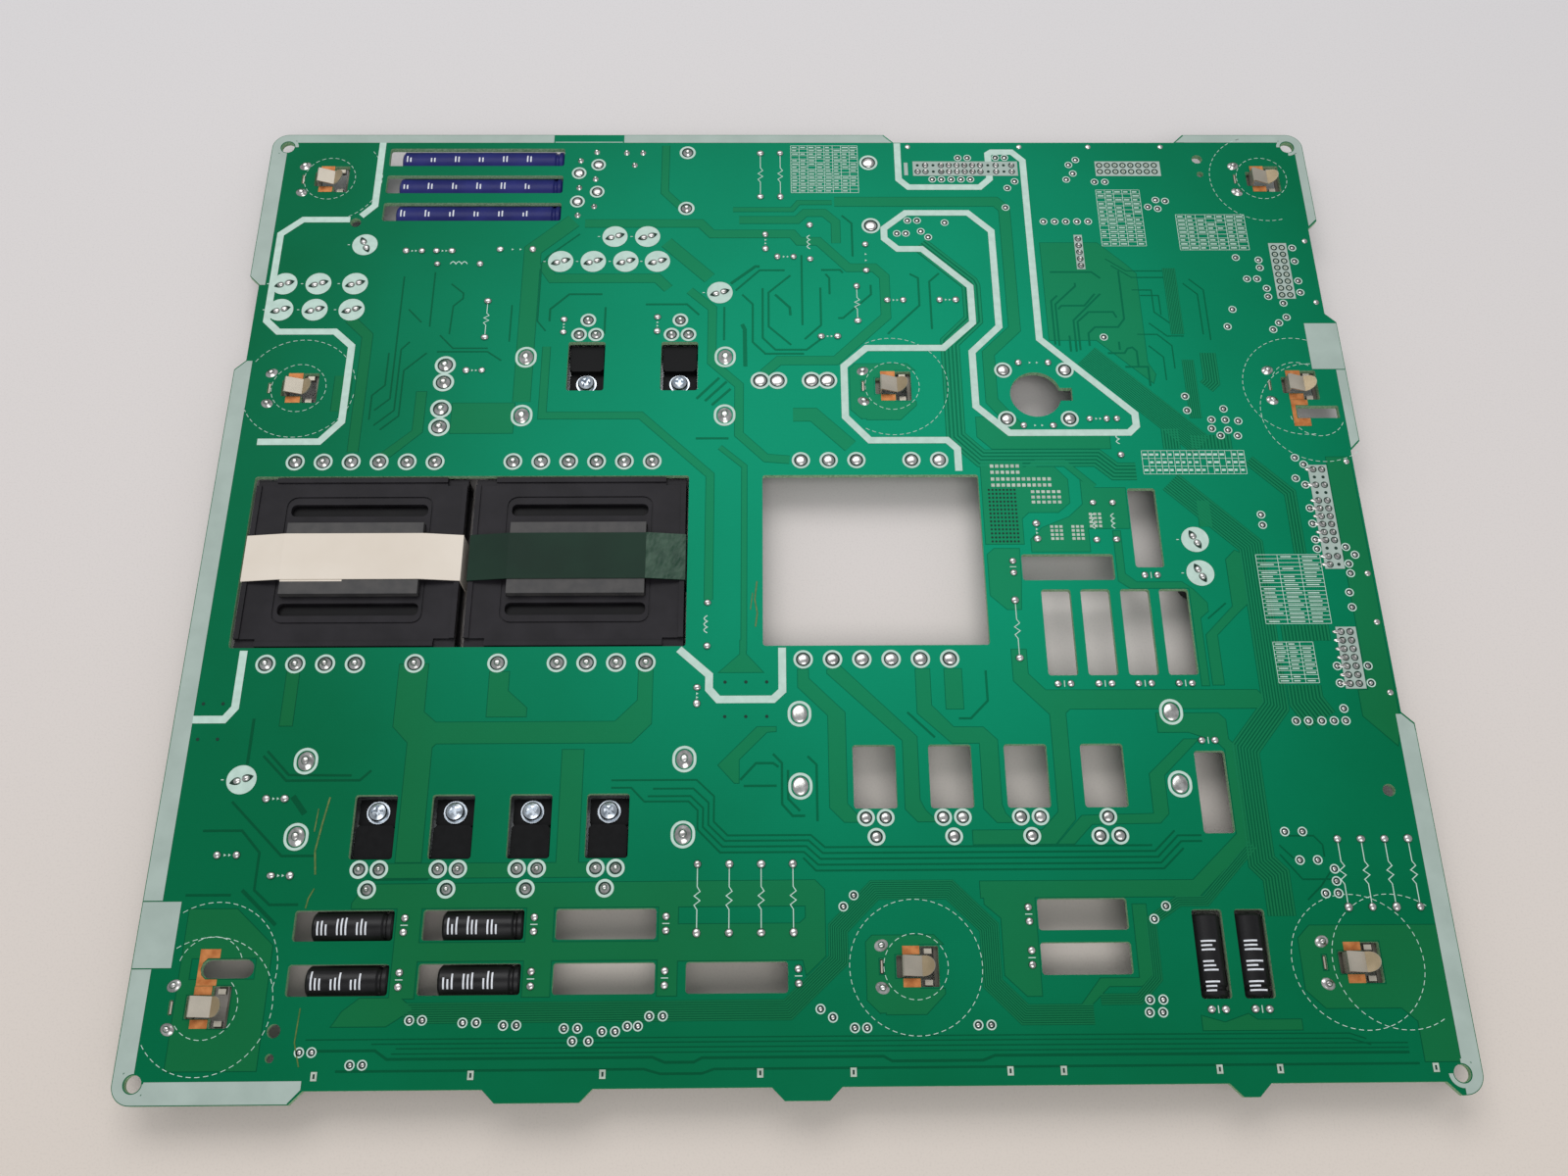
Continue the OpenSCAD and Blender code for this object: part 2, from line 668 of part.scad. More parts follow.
module winding(t) {
    inner_x = core_post / 2 + 2 * fit + tube_wall;
    inner_y = core_d / 2 + 2 * fit + tube_wall;
    outer_x = core_w / 2 - core_leg - 4 * fit;
    outer_y = inner_y + outer_x - inner_x;
    corner = 2.5;
    color([0.62, 0.36, 0.16])
    translate([transformer_x[t], transformer_y, 0])
        difference() {
            rounded_block(-outer_x, outer_x, -outer_y, outer_y, corner, flange_top, cover_bottom - fit);
            centred(2 * inner_x, 2 * inner_y, flange_top - margin, cover_bottom + margin);
        }
}

// Closed band over the core, down both ends of the bobbin and under the lower core
function tape_loop(grow) = let (
    flat = core_w / 2 + fit / 4 + grow / 2,
    side = bobbin_w / 2 + fit / 4 + grow,
    top = core_top + grow,
    shoulder = rim_top + fit / 2 + grow * 0.8,
    low = flange_bottom - fit / 4 - grow * 0.8,
    bottom = core_bottom - grow
) [
    [-flat, bottom], [flat, bottom], [side, low], [side, shoulder],
    [flat, top], [-flat, top], [-side, shoulder], [-side, low]
];

module tape(t) {
    color(t == 0 ? [0.87, 0.84, 0.78] : [0.12, 0.22, 0.19])
    translate([transformer_x[t], transformer_y + frame_shift + tape_w / 2, 0])
        rotate([90, 0, 0])
        difference() {
            linear_extrude(tape_w) polygon(tape_loop(tape_t));
            translate([0, 0, -margin]) linear_extrude(tape_w + 2 * margin) polygon(tape_loop(0));
        }
}

module pins(t) {
    color("silver")
    for (p = pin_places(t))
        riser(p, pin_d, flange_top);
}

// Package lying on its back with the mounting end at its origin
module transistor(f) {
    color([0.1, 0.1, 0.11])
    translate([f[0][0], f[0][1], sink_top])
        rotate(f[1] > 0 ? 0 : 180)
        difference() {
            union() {
                slab(-fet_w / 2, fet_w / 2, -fet_l, -fet_tab_l, 0, fet_t);
                slab(-fet_w / 2, fet_w / 2, -fet_tab_l, 0, 0, fet_tab_t);
            }
            translate([0, -screw_in, -margin]) cylinder(d = screw_d + fit, h = fet_t + 2 * margin);
            for (s = [-1, 1])
                translate([s * fet_w / 2, -fet_tab_l, fet_tab_t])
                    rotate([0, 0, 45]) cube([1.2, 1.2, 2 * fet_t], center = true);
        }
}

module transistor_leads() {
    color("silver")
    for (f = fets, p = fet_leads(f[0], f[1])) {
        low = sink_top + lead_rise;
        body_end = f[0][1] - f[1] * fet_l;
        reach = p[1] - f[1] * lead_w / 2;
        r = lead_w / 2;
        slab(p[0] - r, p[0] + r, min(body_end, reach), max(body_end, reach), low, low + lead_t);
        slab(p[0] - r, p[0] + r, p[1] - r, p[1] + r, low, board_top);
    }
}

// Plate with two end walls; each wall has two legs soldered into the board
module heat_sink(xs, ys, screw_places) {
    y0 = ys[0] - sink_leg_w / 2 - sink_over;
    y1 = ys[1] + sink_leg_w / 2 + sink_over;
    color([0.75, 0.76, 0.78])
    difference() {
        union() {
            slab(xs[0] - sink_wall / 2, xs[1] + sink_wall / 2, y0, y1, sink_bottom, sink_top);
            for (x = xs) {
                slab(x - sink_wall / 2, x + sink_wall / 2, y0, y1, sink_top, board_bottom);
                for (y = ys)
                    slab(x - sink_wall / 2, x + sink_wall / 2, y - sink_leg_w / 2, y + sink_leg_w / 2,
                        board_bottom, board_top);
            }
        }
        for (p = screw_places)
            translate([p[0], p[1], sink_bottom - margin])
                cylinder(d = screw_d + fit, h = sink_t + 2 * margin);
    }
}

function screw_place(f) = [f[0][0], f[0][1] - f[1] * screw_in];

module heat_sink_front() {
    heat_sink(front_sink_x, front_sink_y, [for (i = [0:3]) screw_place(fets[i])]);
}

module heat_sink_back() {
    heat_sink(back_sink_x, back_sink_y, [for (i = [4:5]) screw_place(fets[i])]);
}

// Domed head with a cross recess on its captive washer
module screw() {
    head_r = washer_d / 2 - 0.5;
    edge = 0.7;
    recess_l = 3.2;
    recess_w = 0.8;
    recess_h = 1.1;
    color([0.8, 0.81, 0.84])
    difference() {
        union() {
            translate([0, 0, -sink_t - fet_tab_t]) cylinder(d = screw_d, h = sink_t + fet_tab_t);
            cylinder(d = washer_d, h = washer_t);
            translate([0, 0, washer_t])
                rotate_extrude() polygon(concat(
                    [[0, 0], [head_r, 0], [head_r, edge]],
                    [for (a = [30, 60, 90]) [head_r * cos(a), edge + (screw_head_h - edge) * sin(a)]]
                ));
        }
        for (turn = [0, 90])
            rotate(turn)
                centred(recess_l, recess_w, washer_t + screw_head_h - recess_h,
                    washer_t + screw_head_h + margin);
    }
}

module heat_sink_screws() {
    for (i = [0:len(fets) - 1]) {
        p = screw_place(fets[i]);
        translate([p[0], p[1], sink_top + fet_tab_t]) rotate(17 * i) screw();
    }
}

// Can along +Z with a rounded base and a beaded groove near its sealed end
module can(d, l) {
    r = d / 2;
    edge = 0.6;
    bead_depth = 0.45;
    rotate_extrude() polygon([
        [0, 0], [r - edge, 0], [r, edge],
        [r, l - 3], [r - bead_depth, l - 2.5], [r - bead_depth, l - 2], [r, l - 1.5],
        [r, l - edge], [r - edge, l], [0, l]
    ]);
}

module bulk_capacitor(i) {
    color([0.2, 0.2, 0.5])
    translate([bulk_x, bulk_y[i], bulk_z]) rotate([0, 90, 0]) can(bulk_d, bulk_l);
}

module output_capacitor(i) {
    color([0.1, 0.1, 0.1])
    if (i < 4)
        translate([out_x[i % 2], out_row_y[floor(i / 2)], out_z]) rotate([0, 90, 0]) can(out_d, out_l);
    else
        translate([out_side_x[i - 4], out_side_y + out_l, out_z]) rotate([90, 0, 0]) can(out_d, out_l);
}

module upright_capacitors() {
    color([0.12, 0.12, 0.14])
    for (p = upright_places)
        translate([p[0], p[1], board_bottom - radial_h]) can(radial_d, radial_h);
}

// Lead from a lying can's end to its hole; axis is 0 along X and 1 along Y
module bent_lead(place, start, axis, z) {
    r = lead_d / 2;
    if (axis == 0)
        slab(start, place[0] + r, place[1] - r, place[1] + r, z - r, z + r);
    else
        slab(place[0] - r, place[0] + r, place[1] - r, start, z - r, z + r);
    slab(place[0] - r, place[0] + r, place[1] - r, place[1] + r, z - r, board_top);
}

module capacitor_leads() {
    color("silver") {
        for (p = bulk_lead_places())
            bent_lead(p, bulk_x + bulk_l, 0, bulk_z);
        for (i = [0:len(out_lead_places()) - 1]) {
            p = out_lead_places()[i];
            if (i < 8)
                bent_lead(p, p[0] - out_lead_out, 0, out_z);
            else
                bent_lead(p, out_side_y, 1, out_z);
        }
        for (i = [0:len(upright_places) - 1], p = upright_leads(i))
            riser(p, lead_d, board_bottom, lead_sides);
    }
}

// Spring tongue seen from the front: up through the window, over the root bend,
// down to a crease and up to the tip
module tongue_profile() {
    root = board_top + tongue_h;
    crease = board_top + tongue_crease_h;
    tip = board_top + tongue_tip_h;
    t = clip_t;
    polygon([
        [tongue_start, board_bottom - t], [tongue_start + t, board_bottom - t],
        [tongue_start + t, root - 1.2 * t], [tongue_crease, crease - t], [tongue_end, tip - t],
        [tongue_end, tip], [tongue_crease, crease], [tongue_start + t, root], [tongue_start, root - t]
    ]);
}

module tongue() {
    tip_r = tongue_w / 2;
    high = board_top + tongue_h + tongue_tip_h;
    intersection() {
        translate([0, tongue_w / 2, 0]) rotate([90, 0, 0]) linear_extrude(tongue_w) tongue_profile();
        union() {
            slab(tongue_start - margin, tongue_end - tip_r, -tongue_w, tongue_w, 0, high);
            translate([tongue_end - tip_r, 0, 0]) cylinder(r = tip_r, h = high);
        }
    }
}

// Soldered base under the board, open under the tongue, with two raised tabs in the window
module ground_clip(i) {
    base_low = board_bottom - clip_t;
    base_x0 = clip_leg_x - 1.4;
    base_x1 = clip_step + clip_wide_x + 0.8;
    base_y = clip_leg_y + 1.2;
    open_x1 = clip_step + clip_wide_x - 1.1;
    open_y = clip_wide_y / 2 + fit;
    tab_x = clip_step + 2.05;
    tab_w = 1.9;
    tab_in = 1.85;
    tab_top = 1.3;
    color([0.82, 0.77, 0.68])
    translate([clip_places[i][0], clip_places[i][1], 0]) {
        difference() {
            slab(base_x0, base_x1, -base_y, base_y, base_low, board_bottom);
            slab(tongue_start + clip_t, open_x1, -tongue_w / 2 - clip_t, tongue_w / 2 + clip_t,
                base_low - margin, board_top);
            slab(clip_step, open_x1, -open_y, open_y, base_low - margin, board_top);
        }
        tongue();
        slab(clip_leg_x - clip_t / 2, clip_leg_x + clip_t / 2, -clip_key_w / 2, clip_key_w / 2,
            base_low, board_top - fit);
        for (s = [-1, 1]) {
            translate([clip_leg_x, s * clip_leg_y, base_low])
                cylinder(d = clip_leg_d, h = board_top - base_low);
            translate([tab_x, s * (clip_wide_y / 2 - tab_in), 0])
                rotate(s > 0 ? 0 : 180) {
                    slab(-tab_w / 2, tab_w / 2, 0, tab_in + 2 * fit, base_low, board_bottom);
                    slab(-tab_w / 2, tab_w / 2, 0, tab_top, base_low, board_bottom + 2 * clip_t);
                }
        }
    }
}

// Pin header with a base against the board and one locking wall down to the rest plane
module header(h) {
    length = h[1] * way_pitch + 2 * header_side;
    depth = h[2] * way_pitch + 2 * header_side;
    color([0.9, 0.88, 0.82])
    difference() {
        translate([h[0][0], h[0][1], 0]) rotate(h[3]) {
            centred(length, depth, board_bottom - header_base, board_bottom);
            translate([0, depth / 2 + header_wall / 2, 0]) {
                centred(length, header_wall, header_step, board_bottom);
                centred(length / 2, header_wall, 0, board_bottom);
            }
        }
        for (p = header_pin_places(h))
            translate([p[0], p[1], board_bottom])
                centred(way_pin + fit / 2, way_pin + fit / 2, -header_base - margin, margin);
    }
}

module header_pins() {
    tip = 1;
    color("silver")
    for (h = headers, p = header_pin_places(h))
        translate([p[0], p[1], 0]) centred(way_pin, way_pin, tip, board_top + lead_proud);
}

// Body of a two-lead part lying under the board, along X at its own origin
module lying_body(part, d, l) {
    translate([part[0][0], part[0][1], board_bottom - d / 2])
        rotate(part[2])
        translate([(part[1] - l) / 2, 0, 0])
        rotate([0, 90, 0])
        cylinder(d = d, h = l);
}

module axial_resistors() {
    color([0.55, 0.6, 0.66])
    for (part = resistors)
        lying_body(part, resistor_d, min(resistor_l, part[1] - 2));
}

module axial_diodes() {
    color([0.1, 0.1, 0.11])
    for (part = diodes)
        lying_body(part, diode_d, diode_l);
}

module bead_inductors() {
    color([0.25, 0.25, 0.27])
    for (part = beads)
        lying_body(part, bead_d, bead_l);
}

module disc_capacitors() {
    color([0.2, 0.45, 0.75])
    for (part = discs)
        translate([part[0][0], part[0][1], board_bottom - disc_drop - disc_d / 2])
            rotate(part[2])
            translate([part[1] / 2, disc_t / 2, 0])
            rotate([90, 0, 0])
            cylinder(d = disc_d, h = disc_t);
}

// Straight lead through the board with a foot that runs in to the body
module lead_pair(part, foot, z) {
    r = lead_d / 2;
    translate([part[0][0], part[0][1], 0]) rotate(part[2]) {
        slab(-r, foot, -r, r, z - r, z + r);
        slab(part[1] - foot, part[1] + r, -r, r, z - r, z + r);
        for (x = [0, part[1]])
            slab(x - r, x + r, -r, r, z - r, board_top + lead_proud / 2);
    }
}

module small_leads() {
    color("silver") {
        for (part = resistors)
            lead_pair(part, (part[1] - min(resistor_l, part[1] - 2)) / 2, board_bottom - resistor_d / 2);
        for (part = diodes)
            lead_pair(part, (part[1] - diode_l) / 2, board_bottom - diode_d / 2);
        for (part = beads)
            lead_pair(part, (part[1] - bead_l) / 2, board_bottom - bead_d / 2);
        for (part = discs)
            disc_leads(part);
    }
}

// Disc leads run up just outside the disc's rim
module disc_leads(part) {
    r = lead_d / 2;
    z = board_bottom - disc_drop - disc_d / 2;
    rim = part[1] / 2 - disc_d / 2;
    translate([part[0][0], part[0][1], 0]) rotate(part[2])
        for (side = [0, 1])
            translate([side * part[1], 0, 0])
                mirror([side, 0, 0])
                difference() {
                    slab(min(-r, rim - lead_d), r, -r, r, z - r, board_top + lead_proud / 2);
                    translate([part[1] / 2, margin, z])
                        rotate([90, 0, 0])
                        cylinder(d = disc_d, h = 2 * margin);
                    slab(-disc_d, -r, -margin, margin, board_bottom - disc_drop / 2, board_top + margin);
                    slab(r, disc_d, -margin, margin, z - margin, board_top + 2 * margin);
                }
}

// Closed ferrite frame lying flat, with a coil on each long limb
module line_filter_core() {
    z = board_bottom - filter_coil_t - fit;
    color([0.3, 0.3, 0.31])
    translate([filter_centre[0], filter_centre[1], 0])
        difference() {
            centred(filter_core_w, filter_core_d, z - filter_core_t, z);
            centred(filter_core_w - 2 * filter_limb, filter_core_d - 2 * filter_limb,
                z - filter_core_t - margin, z + margin);
        }
}

module line_filter_windings() {
    z = board_bottom - filter_coil_t - fit;
    grow = filter_coil_t;
    color([0.66, 0.36, 0.14])
    for (s = [-1, 1])
        translate([filter_centre[0] + s * (filter_core_w - filter_limb) / 2, filter_centre[1], 0])
            difference() {
                centred(filter_limb + 2 * grow, filter_coil_l, z - filter_core_t - grow, z + grow);
                centred(filter_limb + fit / 2, filter_coil_l + 2 * margin,
                    z - filter_core_t - fit / 4, z + fit / 4);
            }
}

module film_capacitor() {
    color([0.75, 0.6, 0.2])
    rounded_block(film_x - film_w / 2, film_x + film_w / 2, film_y[0] - film_end, film_y[1] + film_end, 0.8,
        board_bottom - film_h, board_bottom);
}

module power_leads() {
    core_z = board_bottom - filter_coil_t - fit;
    color("silver") {
        for (p = film_pins)
            riser(p, power_lead_d, board_bottom);
        for (i = [0, 3])
            riser(filter_pins[i], power_lead_d, core_z);
        for (i = [1, 2])
            riser(filter_pins[i], power_lead_d, core_z + filter_coil_t);
    }
}

// Concave solder cone with a blunt tip
module solder_cone(place, r, h) {
    translate([place[0], place[1], board_top])
        rotate_extrude()
        polygon([[0, 0], [r, 0], [0.7 * r, 0.22 * h], [0.42 * r, 0.6 * h], [0.26 * r, h], [0, h]]);
}

module solder_joints() {
    pin_r = 1.7;
    fet_r = 1.35;
    sink_r = 2.3;
    clip_r = 1.6;
    power_r = 2;
    color([0.78, 0.78, 0.77]) {
        for (t = [0, 1], p = pin_places(t))
            solder_cone(p, pin_r, 1.2);
        for (f = fets, p = fet_leads(f[0], f[1]))
            solder_cone(p, fet_r, 1.1);
        for (p = sink_leg_places())
            solder_cone(p, sink_r, 1.3);
        for (c = clip_places, s = [-1, 1])
            solder_cone([c[0] + clip_leg_x, c[1] + s * clip_leg_y], clip_r, 1.2);
        for (p = concat(filter_pins, film_pins))
            solder_cone(p, power_r, 1.3);
    }
}

circuit_board();
bobbin(0);  // transformer_1_bobbin
core_upper(0);  // transformer_1_core_upper
core_lower(0);  // transformer_1_core_lower
winding(0);  // transformer_1_winding
tape(0);  // transformer_1_tape
pins(0);  // transformer_1_pins
bobbin(1);  // transformer_2_bobbin
core_upper(1);  // transformer_2_core_upper
core_lower(1);  // transformer_2_core_lower
winding(1);  // transformer_2_winding
tape(1);  // transformer_2_tape
pins(1);  // transformer_2_pins
for (i = [0:5])
    transistor(fets[i]);
transistor_leads();
heat_sink_front();
heat_sink_back();
heat_sink_screws();
for (i = [0:2])
    bulk_capacitor(i);
for (i = [0:5])
    output_capacitor(i);
upright_capacitors();
capacitor_leads();
for (i = [0:7])
    ground_clip(i);
for (i = [0:3])
    header(headers[i]);
header_pins();
axial_resistors();
axial_diodes();
disc_capacitors();
bead_inductors();
small_leads();
line_filter_core();
line_filter_windings();
film_capacitor();
power_leads();
solder_joints();
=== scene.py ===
"""Looks of the power supply board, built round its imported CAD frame. Board places are in millimetres."""
import json
import math
import random

import bpy
from mathutils import Matrix, Vector


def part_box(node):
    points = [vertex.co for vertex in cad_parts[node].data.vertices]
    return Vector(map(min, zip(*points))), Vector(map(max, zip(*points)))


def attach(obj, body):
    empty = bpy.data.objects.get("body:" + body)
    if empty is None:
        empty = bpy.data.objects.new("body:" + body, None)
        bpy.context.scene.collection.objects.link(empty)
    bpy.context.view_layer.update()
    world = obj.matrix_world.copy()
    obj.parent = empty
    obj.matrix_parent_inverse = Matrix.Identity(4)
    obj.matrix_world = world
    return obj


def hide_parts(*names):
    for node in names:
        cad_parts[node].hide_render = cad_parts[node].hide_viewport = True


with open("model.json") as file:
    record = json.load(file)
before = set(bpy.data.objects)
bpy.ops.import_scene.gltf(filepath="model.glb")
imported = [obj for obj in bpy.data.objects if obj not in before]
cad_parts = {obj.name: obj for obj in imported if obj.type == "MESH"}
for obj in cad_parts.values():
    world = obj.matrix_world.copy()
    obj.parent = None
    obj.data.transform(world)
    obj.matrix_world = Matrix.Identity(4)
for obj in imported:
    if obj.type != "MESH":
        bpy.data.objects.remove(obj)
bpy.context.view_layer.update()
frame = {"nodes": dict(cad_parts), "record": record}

MM = 0.001
BODY = "root"
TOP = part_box("circuit_board")[1][2] / MM
RANDOM_SEED = 7
rng = random.Random(RANDOM_SEED)

# Heights of the printed layers over the solder face
EDGE_LIFT, COPPER_LIFT, TRACK_LIFT, FINE_LIFT = 0.02, 0.04, 0.05, 0.06
SILK_LIFT, BLOCK_LIFT, LAND_LIFT = 0.08, 0.092, 0.1
# Shapes of one layer that may overlap lie on levels this far apart; the free levels are kept by squares of the board
LEVEL_STEP, LEVEL_SQUARE = 0.001, 2.0


def srgb(r, g, b):
    """Linear colour of an 8-bit screen colour."""
    def linear(v):
        v /= 255
        return v / 12.92 if v <= 0.04045 else ((v + 0.055) / 1.055) ** 2.4
    return linear(r), linear(g), linear(b), 1.0


# Materials

def new_material(name):
    material = bpy.data.materials.new(name)
    material.use_nodes = True
    return material, material.node_tree, material.node_tree.nodes["Principled BSDF"]


def put(node, sockets):
    """Fill a node's input sockets, by name or number, with values or with other nodes' outputs."""
    for socket, value in sockets.items():
        if isinstance(value, bpy.types.NodeSocket):
            node.id_data.links.new(value, node.inputs[socket])
        else:
            node.inputs[socket].default_value = value
    return node


def add_node(tree, kind, sockets, **settings):
    node = tree.nodes.new("ShaderNode" + kind)
    for setting, value in settings.items():
        setattr(node, setting, value)
    return put(node, sockets)


def object_place(tree):
    """The shaded point in the object's own space."""
    return add_node(tree, "TexCoord", {}).outputs["Object"]


def axis_of(tree, vector, axis):
    return add_node(tree, "SeparateXYZ", {"Vector": vector}).outputs[axis]


def colour_mix(tree, factor, a, b, blend="MIX"):
    mix = add_node(tree, "Mix", {}, data_type="RGBA", blend_type=blend)
    return put(mix, {"Factor": factor, "A": a, "B": b}).outputs["Result"]


def ramp_between(tree, share, low, high, start=0.35, end=0.65):
    """Colour ramp over a share from 0 to 1."""
    ramp = add_node(tree, "ValToRGB", {"Fac": share})
    for element, colour, position in zip(ramp.color_ramp.elements, (low, high), (start, end)):
        element.color, element.position = colour, position
    return ramp


def noise_at(tree, scale, detail=4, stretch=None):
    """Noise in the object's own space; scale is in features for each metre."""
    place = object_place(tree)
    if stretch is not None:
        place = add_node(tree, "Mapping", {"Vector": place, "Scale": stretch}).outputs["Vector"]
    return add_node(tree, "TexNoise", {"Vector": place, "Scale": scale, "Detail": detail}).outputs["Fac"]


def bumps(tree, height, strength, depth):
    return add_node(tree, "Bump", {"Height": height, "Strength": strength, "Distance": depth * MM}).outputs["Normal"]


ROUGH_SPREAD, ROUGH_LEAST, RELIEF_DETAIL = 0.1, 0.02, 6


def surface(name, dark, light, rough, metal=0.0, grain=500, bump=0.1, bump_grain=1500, bump_mm=0.02,
            stretch=None, specular=0.2):
    """A finish with mottled colour, uneven roughness and fine relief."""
    material, tree, shader = new_material(name)
    mottle = noise_at(tree, grain, stretch=stretch)
    relief = noise_at(tree, bump_grain, RELIEF_DETAIL, stretch)
    spread = add_node(tree, "MapRange", {
        "Value": mottle, "To Min": max(rough - ROUGH_SPREAD, ROUGH_LEAST), "To Max": min(rough + ROUGH_SPREAD, 1.0)})
    put(shader, {
        "Base Color": ramp_between(tree, mottle, srgb(*dark), srgb(*light)).outputs["Color"],
        "Roughness": spread.outputs["Result"], "Normal": bumps(tree, relief, bump, bump_mm),
        "Metallic": metal, "Specular IOR Level": specular})
    return material


# Painted sheen: the mask grows lighter between these distances in metres of this place in the middle of the board
SHEEN_PLACE, SHEEN_NEAR, SHEEN_FAR = (0.02, 0.04, 0.0116), 0.02, 0.2
CLOUD_GRAIN, CLOUD_SHARE, CLOUD_MEAN = 22, 0.35, 0.17


def green_colour(tree, dark, light):
    """Mask colour with a painted sheen: lighter towards the middle of the board, where the light falls brightest, and
    with faint clouds.
    """
    distance = add_node(tree, "VectorMath", {0: object_place(tree), 1: SHEEN_PLACE}, operation="DISTANCE")
    sheen = add_node(tree, "MapRange", {
        "Value": distance.outputs["Value"], "From Min": SHEEN_FAR, "From Max": SHEEN_NEAR,
    }, interpolation_type="SMOOTHSTEP")
    less = add_node(tree, "Math", {0: sheen.outputs["Result"], 1: CLOUD_MEAN}, operation="SUBTRACT")
    share = add_node(tree, "Math", {
        0: noise_at(tree, CLOUD_GRAIN), 1: CLOUD_SHARE, 2: less.outputs["Value"],
    }, operation="MULTIPLY_ADD", use_clamp=True)
    return colour_mix(tree, share.outputs["Value"], srgb(*dark), srgb(*light))


WEAVE_W, WEAVE_H, WEAVE_GAP = 0.9, 0.45, 0.06
WEAVE_TONES = {"Color1": 1.0, "Color2": 0.92, "Mortar": 0.82}


def woven_glass(tree):
    """Weave of the glass cloth under the mask."""
    tones = {socket: (tone, tone, tone, 1) for socket, tone in WEAVE_TONES.items()}
    return add_node(tree, "TexBrick", {
        "Vector": object_place(tree), "Scale": 1.0, "Brick Width": WEAVE_W * MM, "Row Height": WEAVE_H * MM,
        "Mortar Size": WEAVE_GAP * MM, **tones})


MASK_ROUGH, MASK_SPECULAR = 0.45, 0.035
WEAVE_SHARE, WEAVE_BUMP, WEAVE_DEPTH = 0.3, 0.2, 0.01
FIBRE_GRAIN, FIBRE_DETAIL, WALL_SLOPE = 2500, 5, 0.5


def mask_coat(name, dark, light, edge=None):
    """Solder mask over woven glass; with edge colours, walls of cuts show the bare laminate."""
    material, tree, shader = new_material(name)
    weave = woven_glass(tree)
    colour = colour_mix(tree, WEAVE_SHARE, green_colour(tree, dark, light), weave.outputs["Color"], "MULTIPLY")
    if edge is not None:
        normal = add_node(tree, "NewGeometry", {}).outputs["Normal"]
        upright = add_node(tree, "Math", {0: axis_of(tree, normal, "Z")}, operation="ABSOLUTE")
        wall = add_node(tree, "Math", {0: upright.outputs["Value"], 1: WALL_SLOPE}, operation="LESS_THAN")
        fibre = noise_at(tree, FIBRE_GRAIN, FIBRE_DETAIL)
        cut = ramp_between(tree, fibre, *(srgb(*tone) for tone in edge))
        colour = colour_mix(tree, wall.outputs["Value"], colour, cut.outputs["Color"])
    put(shader, {
        "Base Color": colour, "Normal": bumps(tree, weave.outputs["Fac"], WEAVE_BUMP, WEAVE_DEPTH),
        "Specular IOR Level": MASK_SPECULAR, "Roughness": MASK_ROUGH})
    return material


# Each mask colour runs from its plain tone to a lighter one: a painted sheen towards the middle of the board, with
# faint clouds
MASK = mask_coat("solder_mask", (0, 93, 58), (5, 135, 100), edge=((104, 142, 104), (158, 188, 150)))
COPPER_MASK = mask_coat("mask_over_copper", (14, 95, 54), (18, 124, 84))
# Darker mask for the gaps in the copper and for the outlines of pours and wide tracks; the outlines are painted shade
# along the copper's edge
EDGE_MASK = mask_coat("mask_edge", (0, 74, 45), (2, 102, 70))
FINE_MASK = mask_coat("fine_track", (16, 96, 57), (20, 128, 90))
SILK = surface("silk", (166, 188, 177), (176, 198, 187), 0.6)
BORDER = surface("border_print", (145, 159, 151), (153, 167, 159), 0.5, grain=120)
SOLDER = surface("solder_tin", (158, 156, 152), (204, 202, 198), 0.22, metal=1.0, bump=0.2, bump_grain=700,
                 bump_mm=0.06)
LAND = surface("tinned_land", (150, 160, 148), (172, 182, 170), 0.55, metal=0.3)
TINNED = surface("tinned_wire", (170, 168, 164), (214, 212, 208), 0.3, metal=1.0, grain=600)
COPPER = surface("bare_copper", (156, 92, 46), (182, 118, 68), 0.45, metal=0.4)
PHENOLIC = surface("bobbin_phenolic", (26, 24, 27), (36, 34, 37), 0.45, grain=120, bump=0.25, bump_grain=1800,
                   specular=0.1)
FERRITE = surface("ferrite_core", (58, 57, 57), (69, 67, 66), 0.5, grain=300, bump=0.2, bump_grain=1600)
WIRE = surface("enamelled_wire", (92, 52, 24), (124, 74, 36), 0.3, metal=0.7, grain=900)
CREAM = surface("cream_tape", (199, 188, 174), (207, 197, 184), 0.45, grain=40, bump=0.2, bump_grain=200, bump_mm=0.06)
GREEN_TAPE = surface("green_tape", (17, 38, 28), (24, 46, 35), 0.42, grain=60, bump=0.3, bump_grain=200, bump_mm=0.08,
                     specular=0.08)
PALE_TAPE = surface("green_tape_end", (36, 60, 47), (58, 80, 66), 0.34, grain=350, bump=0.6, bump_grain=420,
                    bump_mm=0.2, specular=0.12)
EPOXY = surface("epoxy_moulding", (11, 11, 12), (17, 17, 18), 0.5, bump=0.25, bump_grain=3000, specular=0.08)
ALUMINIUM = surface("stamped_aluminium", (150, 152, 154), (184, 186, 188), 0.38, metal=1.0, stretch=(1, 12, 1))
ZINC = surface("zinc_plate", (152, 160, 168), (188, 195, 202), 0.26, metal=1.0)
BLUE = surface("blue_sleeve", (26, 29, 84), (33, 37, 98), 0.34, grain=120, bump=0.08, specular=0.12)
BLACK = surface("black_sleeve", (15, 14, 15), (24, 23, 24), 0.32, grain=120, bump=0.08)
SPRING = surface("spring_metal", (158, 151, 138), (176, 168, 154), 0.4, metal=0.5, grain=90, bump=0.05)
